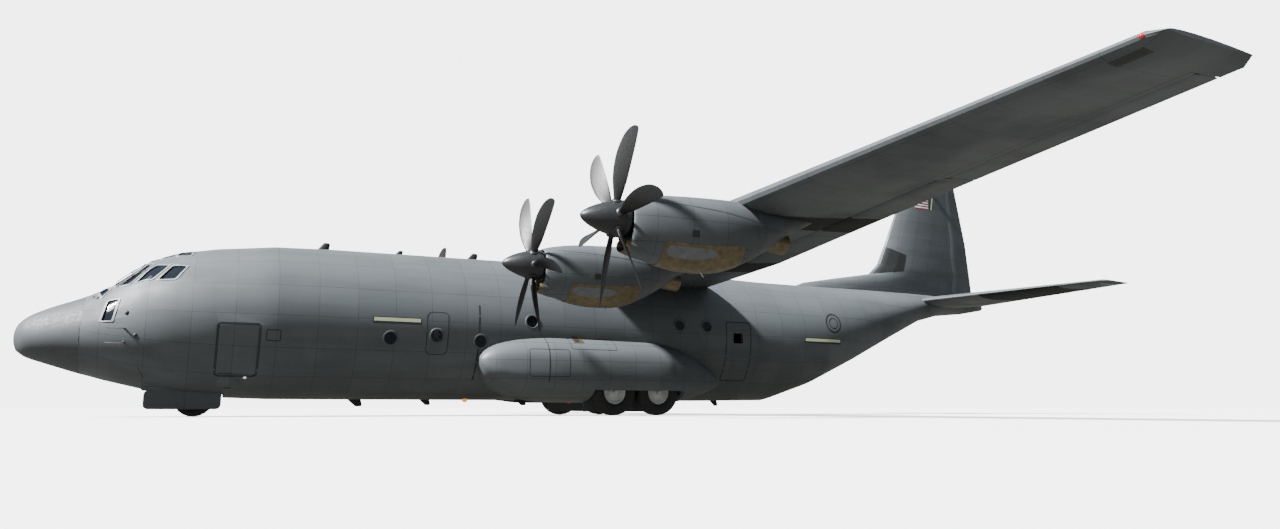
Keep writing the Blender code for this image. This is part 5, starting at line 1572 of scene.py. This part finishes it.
def makeFlightDeck():
    parts, screens, knobs = [], [], []
    parts.append(fullBlock((2.36, -1.00, 3.10), (2.66, 1.00, 3.16)))
    for low, high in cabin["screens"]:
        parts.append(fullBlock((2.575, low - 0.02, 2.74), (2.60, high + 0.02, 3.06), 0.004))
        screens.append(fullBlock((2.595, low, 2.76), (2.606, high, 3.04), 0.002))
    parts.append(fullBlock((2.60, -0.17, 2.775), (3.22, 0.17, 2.81), 0.006))
    for n in range(4):
        y = -0.09 + 0.06 * n
        knobs.append(tube([place(2.86, y, 2.80), place(2.83, y, 2.92)], 0.006, 8))
        knobs.append(dome(place(2.83, y, 2.90), (-0.2, 0, 1), 0.014, 0.02, 12))
    for side in (-1, 1):
        y = side * cabin["seatY"]
        column = [place(x, y, z) for x, z in cabin["column"]]
        yoke = [place(2.78, y + dy, 2.86 + dz) for dy, dz in cabin["yoke"]]
        knobs += [tube(column, 0.016, 12), tube(yoke, 0.011, 10)]
        for pedal in (-0.12, 0.12):
            knobs.append(fullBlock((2.56, y + pedal - 0.05, 2.20), (2.60, y + pedal + 0.05, 2.34), 0.004))
    addPiece("panelTrim", *join(*parts), "dark", crisp=35)
    addPiece("panelScreens", *join(*screens), "screen", crisp=35)
    addPiece("flightControls", *join(*knobs), "outline", crisp=40)


# the load space
hold = {
    "ribs": [6.0 + 1.02 * n for n in range(16)],
    "railLanes": (-1.15, -0.42, 0.42, 1.15),
    "railEnds": (5.3, 22.3),
    "rollers": [5.55 + 0.5 * k for k in range(34)],
    "top": 1.04,
}


def makeHold():
    ribs = []
    for x in hold["ribs"]:
        rings = []
        for dx, depth in ((-0.04, 0.15), (-0.04, 0.23), (0.04, 0.23), (0.04, 0.15)):
            rings.append([hullAt(x + dx, degrees, -depth)
                          for degrees in (-32 + 244 * k / 44 for k in range(45))])
        ribs.append(loftRings(rings, False, False))
    addPiece("holdRibs", *join(*ribs), "primer", crisp=30)
    rails, rollers = [], []
    (front, back), top = hold["railEnds"], hold["top"]
    for y in hold["railLanes"]:
        for edge in (-0.09, 0.09):
            rails.append(fullBlock((front, y + edge - 0.012, top + 0.002),
                                   (back, y + edge + 0.012, top + 0.05), 0.002))
        rollers += [tube([place(x, y - 0.08, top + 0.032), place(x, y + 0.08, top + 0.032)], 0.012, 8)
                    for x in hold["rollers"]]
    addPiece("floorRails", *join(*rails), "silver", crisp=30)
    addPiece("floorRollers", *join(*rollers), "steel", crisp=40)
    lamps = [tube([hullAt(x - 0.25, degrees, -0.26), hullAt(x + 0.25, degrees, -0.26)], 0.022, 10)
             for x in hold["ribs"][1::3] for degrees in (70, 110)]
    addPiece("holdLamps", *join(*lamps), "lampPale", crisp=60)
    pipes = [tube([hullAt(x, degrees, -0.27) for x in (5.8, 10.0, 14.0, 18.0, 21.6)], radius, 10)
             for degrees, radius in ((60, 0.020), (120, 0.020), (52, 0.012), (128, 0.012), (20, 0.014),
                                     (160, 0.014))]
    addPiece("holdPipes", *join(*pipes), "gear", crisp=60)


# landing gear
gear = {
    "noseX": 4.19,
    "noseAxle": 0.495,
    "mainX": (15.75, 17.27),
    "mainY": 1.79,
    "mainAxle": 0.71,
    # turned parts as (along, radius) in model metres
    "steerCollar": ((0.0, 0.052), (0.006, 0.056), (0.030, 0.056), (0.036, 0.050)),
    "forkHead": ((0.0, 0.030), (0.004, 0.047), (0.046, 0.047), (0.050, 0.040)),
    "axleNut": ((0.0, 0.040), (0.003, 0.044), (0.012, 0.044), (0.015, 0.036)),
    "strutCollar": ((0.0, 0.060), (0.004, 0.066), (0.026, 0.066), (0.030, 0.061)),
    "lampHouse": ((0.0, 0.022), (0.010, 0.034), (0.030, 0.040), (0.034, 0.038)),
    "mainCollar": ((0.0, 0.040), (0.004, 0.046), (0.030, 0.046), (0.034, 0.040)),
    "mainFoot": ((0.0, 0.050), (0.004, 0.056), (0.050, 0.056), (0.054, 0.046)),
    "mainHub": ((0.0, 0.10), (0.004, 0.115), (0.018, 0.115), (0.022, 0.09)),
    "link": ((0.09, 0.60), (0.26, 0.78), (0.10, 0.94)),
    "noseHose": ((0.12, 0.06, 1.02), (0.16, 0.06, 1.30), (0.10, 0.05, 1.52)),
    "mainHose": ((0.10, 1.82, 1.02), (0.17, 1.80, 0.88), (0.13, 1.88, 0.76)),
    # the nose bay's mouth, and height and growth of the rings round it
    "mouth": (2.948, 4.902, 0.747),
    "skirt": ((0.699, -0.02), (0.698, 0.004), (0.76, 0.018), (0.84, 0.05), (0.96, 0.11)),
    # x from, x to, z from, z to
    "door": (3.01, 4.84, 0.20, 0.699),
}


def collar(part, x, y, z, axis=(0, 0, 1), sides=28):
    return turned(gear[part], place(x, y, z), axis, sides)


def makeNoseGear():
    x, axle = gear["noseX"], gear["noseAxle"]
    fork = [collar("steerCollar", x, 0, axle - 0.11), collar("forkHead", x, 0, 0.86)]
    fork += [collar("axleNut", x, side * 0.075, axle, (0, side, 0), 24) for side in (-1, 1)]
    link = [place(x + dx, 0, z) for dx, z in gear["link"]]
    for half, apart in ((link[:2], 0.03), (link[1:], 0.024)):
        fork += [tube([p + Vector((0, dy, 0)) for p in half], 0.010, 10) for dy in (-apart, apart)]
    addPiece("noseForkDetail", *join(*fork), "gear", "nose_fork", crisp=40)
    piston = turned(((0.0, 0.0405), (0.115, 0.0405)), place(x, 0, 0.62), (0, 0, 1), 32, False)
    addPiece("nosePiston", *piston, "chrome", "nose_fork")
    strut = [collar("strutCollar", x, 0, z) for z in (1.00, 1.22, 1.40)]
    strut += [tube([place(x - 0.02, side * 0.15, z) for z in (1.05, 1.48)], 0.008, 10) for side in (-1, 1)]
    strut += [tube([place(x + dx, side * y, z) for dx, y, z in gear["noseHose"]], 0.006, 8)
              for side in (-1, 1)]
    addPiece("noseStrutDetail", *join(*strut), "gear", crisp=40)
    addPiece("taxiLampHouse", *collar("lampHouse", x - 0.16, 0.0, 1.10, (-1, 0, 0), 24), "gear", crisp=40)
    addPiece("taxiLamp", *dome(place(x - 0.225, 0.0, 1.10), (-1, 0, 0), 0.036, 0.008), "lampPale")
    skirt = []
    front, back, half = gear["mouth"]
    for z, grow in gear["skirt"]:
        loop = roundedLoop(front - grow, back + grow, -half - grow, half + grow, max(0.02, 0.02 + grow))[:-1]
        skirt.append([place(px, py, z) for px, py in loop])
    addPiece("noseBaySkirt", *loftRings(skirt, endsClosed=False), "hull", crisp=45)
    for side, name in bothNames:
        rings = [[place(px, side * y, pz) for px, pz in roundedLoop(*gear["door"], reach, edge=4)[:-1]]
                 for y, reach in ((0.712, 0.13), (0.736, 0.13), (0.740, 0.125))]
        door = addPiece(f"noseDoor_{name}", *loftRings(rings), "hull", crisp=40)
        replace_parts(door, f"nose_gear_door_{name}")
    doorParts = []
    for side in (-1, 1):
        for px in (3.15, 3.9, 4.7):
            low = (px - 0.03, side * 0.695 - 0.015, 0.26)
            doorParts.append(fullBlock(low, (px + 0.03, side * 0.695 + 0.015, 0.73), 0.003))
        doorParts.append(tube([place(3.5, side * 0.69, 0.52), place(3.5, side * 0.42, 1.10)], 0.009, 10))
    addPiece("noseDoorRibs", *join(*doorParts), "primer", crisp=35)


def makeMainGear():
    parts, chrome, hoses = [], [], []
    front, rear = gear["mainX"]
    for side in (-1, 1):
        y = side * gear["mainY"]
        for x in gear["mainX"]:
            parts += [collar("mainCollar", x, y, 0.86), collar("mainFoot", x, y, 0.655),
                      collar("mainHub", x, side * 1.88, gear["mainAxle"], (0, side, 0), 32)]
            chrome.append(turned(((0.0, 0.0345), (0.035, 0.0345)), place(x, y, 0.78), (0, 0, 1), 28, False))
            hoses.append(tube([place(x + dx, side * dy, z) for dx, dy, z in gear["mainHose"]], 0.006, 8))
        parts.append(tube([place(front + 0.15, y, 1.04), place(rear - 0.12, y, 0.78)], 0.016, 12))
    addPiece("mainGearDetail", *join(*parts), "gear", crisp=40)
    addPiece("mainGearChrome", *join(*chrome), "chrome")
    addPiece("mainGearHoses", *join(*hoses), "outline")


podMarks = {
    # name, x from, x to, z from, z to, finish, steps, lift
    "patches": (("podVent", 14.34, 14.68, 2.18, 2.42, "bronze", (6, 5), 0.004),
                ("podVentDark", 14.38, 14.55, 2.21, 2.39, "dark", (5, 5), 0.006)),
    "loops": (("podDoorOutline", 12.86, 14.10, 1.15, 1.95, 0.06, 8, 0.018),
              ("podHatchOutline", 14.20, 15.70, 1.98, 2.34, 0.05, 8, 0.018)),
    "line": ("podLine", 13.45, 13.48, 1.0, 2.32, "outline", (1, 20), 0.0016),
}


def makePodDetails():
    for side, name in bothNames:
        for part, *spot, finishName, steps, lift in podMarks["patches"]:
            laidBlock(f"{part}_{name}", *spot, side, finishName, steps, lift)
        for part, *loop in podMarks["loops"]:
            laidLoop(f"{part}_{name}", *loop, side)
        part, *spot, finishName, steps, lift = podMarks["line"]
        laidBlock(f"{part}_{name}", *spot, side, finishName, steps, lift)


makeRadome()
makeFittings()
makeTips()
makeLips()
print("nose, probes, lights and aerials done")
makeSeats()
makeFlightDeck()
makeHold()
print("cabin and load space done")
makeNoseGear()
makeMainGear()
makePodDetails()
print("landing gear done")


# floor, light and camera
studio = {
    "floorColour": (0.80, 0.80, 0.80),
    "floorSize": 400.0,
    "floorDark": (0.02, 0.02, 0.02),
    "floorGlow": 1.6,
    # what the floor sends up at the plane, in place of its bounce
    "floorFill": 0.28,
    "floorFillColour": (1.0, 0.98, 0.86),
    "worldColour": (0.97, 0.98, 1.0),
    "worldHigh": (0.75, 0.88, 1.0),
    "worldLow": (0.42, 0.44, 0.44),
    "worldStrength": 0.45,
    "backdropStrength": 5.0,
    "sunStrength": 21.5,
    "sunWay": (1.0, 0.10, -1.0),
    "sunSoftness": 5.0,
    "camera": (-6.58, -13.48, 0.12),
    "yaw": 62.9,
    "pitch": 9.3,
    "focalPixels": 875.0,
    "imageWidth": 1280.0,
}


def floorFinish():
    material, tree, shader, _ = startMaterial("floorPale", 0.8)
    seen = addNode(tree, "ShaderNodeLightPath").outputs["Is Camera Ray"]
    feed(tree, shader.inputs["Base Color"], mixColour(tree, seen, studio["floorDark"], studio["floorColour"]))
    feed(tree, shader.inputs["Emission Color"],
         mixColour(tree, seen, studio["floorFillColour"], (1.0, 1.0, 1.0)))
    feed(tree, shader.inputs["Emission Strength"],
         ramp(tree, seen, 0.0, 1.0, studio["floorFill"], studio["floorGlow"]))
    return material


def makeStage():
    mesh = bpy.data.meshes.new("studioFloor")
    half = studio["floorSize"] / 2
    mesh.from_pydata([(-half, -half, 0), (half, -half, 0), (half, half, 0), (-half, half, 0)], [],
                     [(0, 1, 2, 3)])
    floor = bpy.data.objects.new("studioFloor", mesh)
    bpy.context.scene.collection.objects.link(floor)
    mesh.materials.append(floorFinish())
    world = bpy.data.worlds.new("studioSky")
    world.use_nodes = True
    tree = world.node_tree
    back = tree.nodes["Background"]
    height = splitPosition(tree, addNode(tree, "ShaderNodeTexCoord").outputs["Generated"])[2]
    shade = mixColour(tree, ramp(tree, height, -0.1, 0.75), studio["worldLow"], studio["worldHigh"])
    seen = addNode(tree, "ShaderNodeLightPath").outputs["Is Camera Ray"]
    feed(tree, back.inputs[0], mixColour(tree, seen, shade, studio["worldColour"]))
    feed(tree, back.inputs[1], ramp(tree, seen, 0.0, 1.0, studio["worldStrength"],
                                    studio["backdropStrength"]))
    bpy.context.scene.world = world
    sun = bpy.data.lights.new("highLight", "SUN")
    sun.energy = studio["sunStrength"]
    sun.angle = math.radians(studio["sunSoftness"])
    lamp = bpy.data.objects.new("highLight", sun)
    lamp.rotation_euler = Vector(studio["sunWay"]).to_track_quat("-Z", "Y").to_euler()
    bpy.context.scene.collection.objects.link(lamp)


def makeCamera():
    data = bpy.data.cameras.new("floorCamera")
    camera = bpy.data.objects.new("floorCamera", data)
    bpy.context.scene.collection.objects.link(camera)
    data.sensor_fit = "HORIZONTAL"
    data.sensor_width = 36.0
    data.lens = studio["focalPixels"] / studio["imageWidth"] * data.sensor_width
    data.clip_end = 1000.0
    yaw, pitch = math.radians(studio["yaw"]), math.radians(studio["pitch"])
    look = Vector((math.cos(pitch) * math.cos(yaw), math.cos(pitch) * math.sin(yaw), math.sin(pitch)))
    turn = look.to_track_quat("-Z", "Y").to_matrix().to_4x4()
    camera.matrix_world = Matrix.Translation(studio["camera"]) @ turn
    bpy.context.scene.camera = camera


makeStage()
makeCamera()
print("stage, light and camera ready")
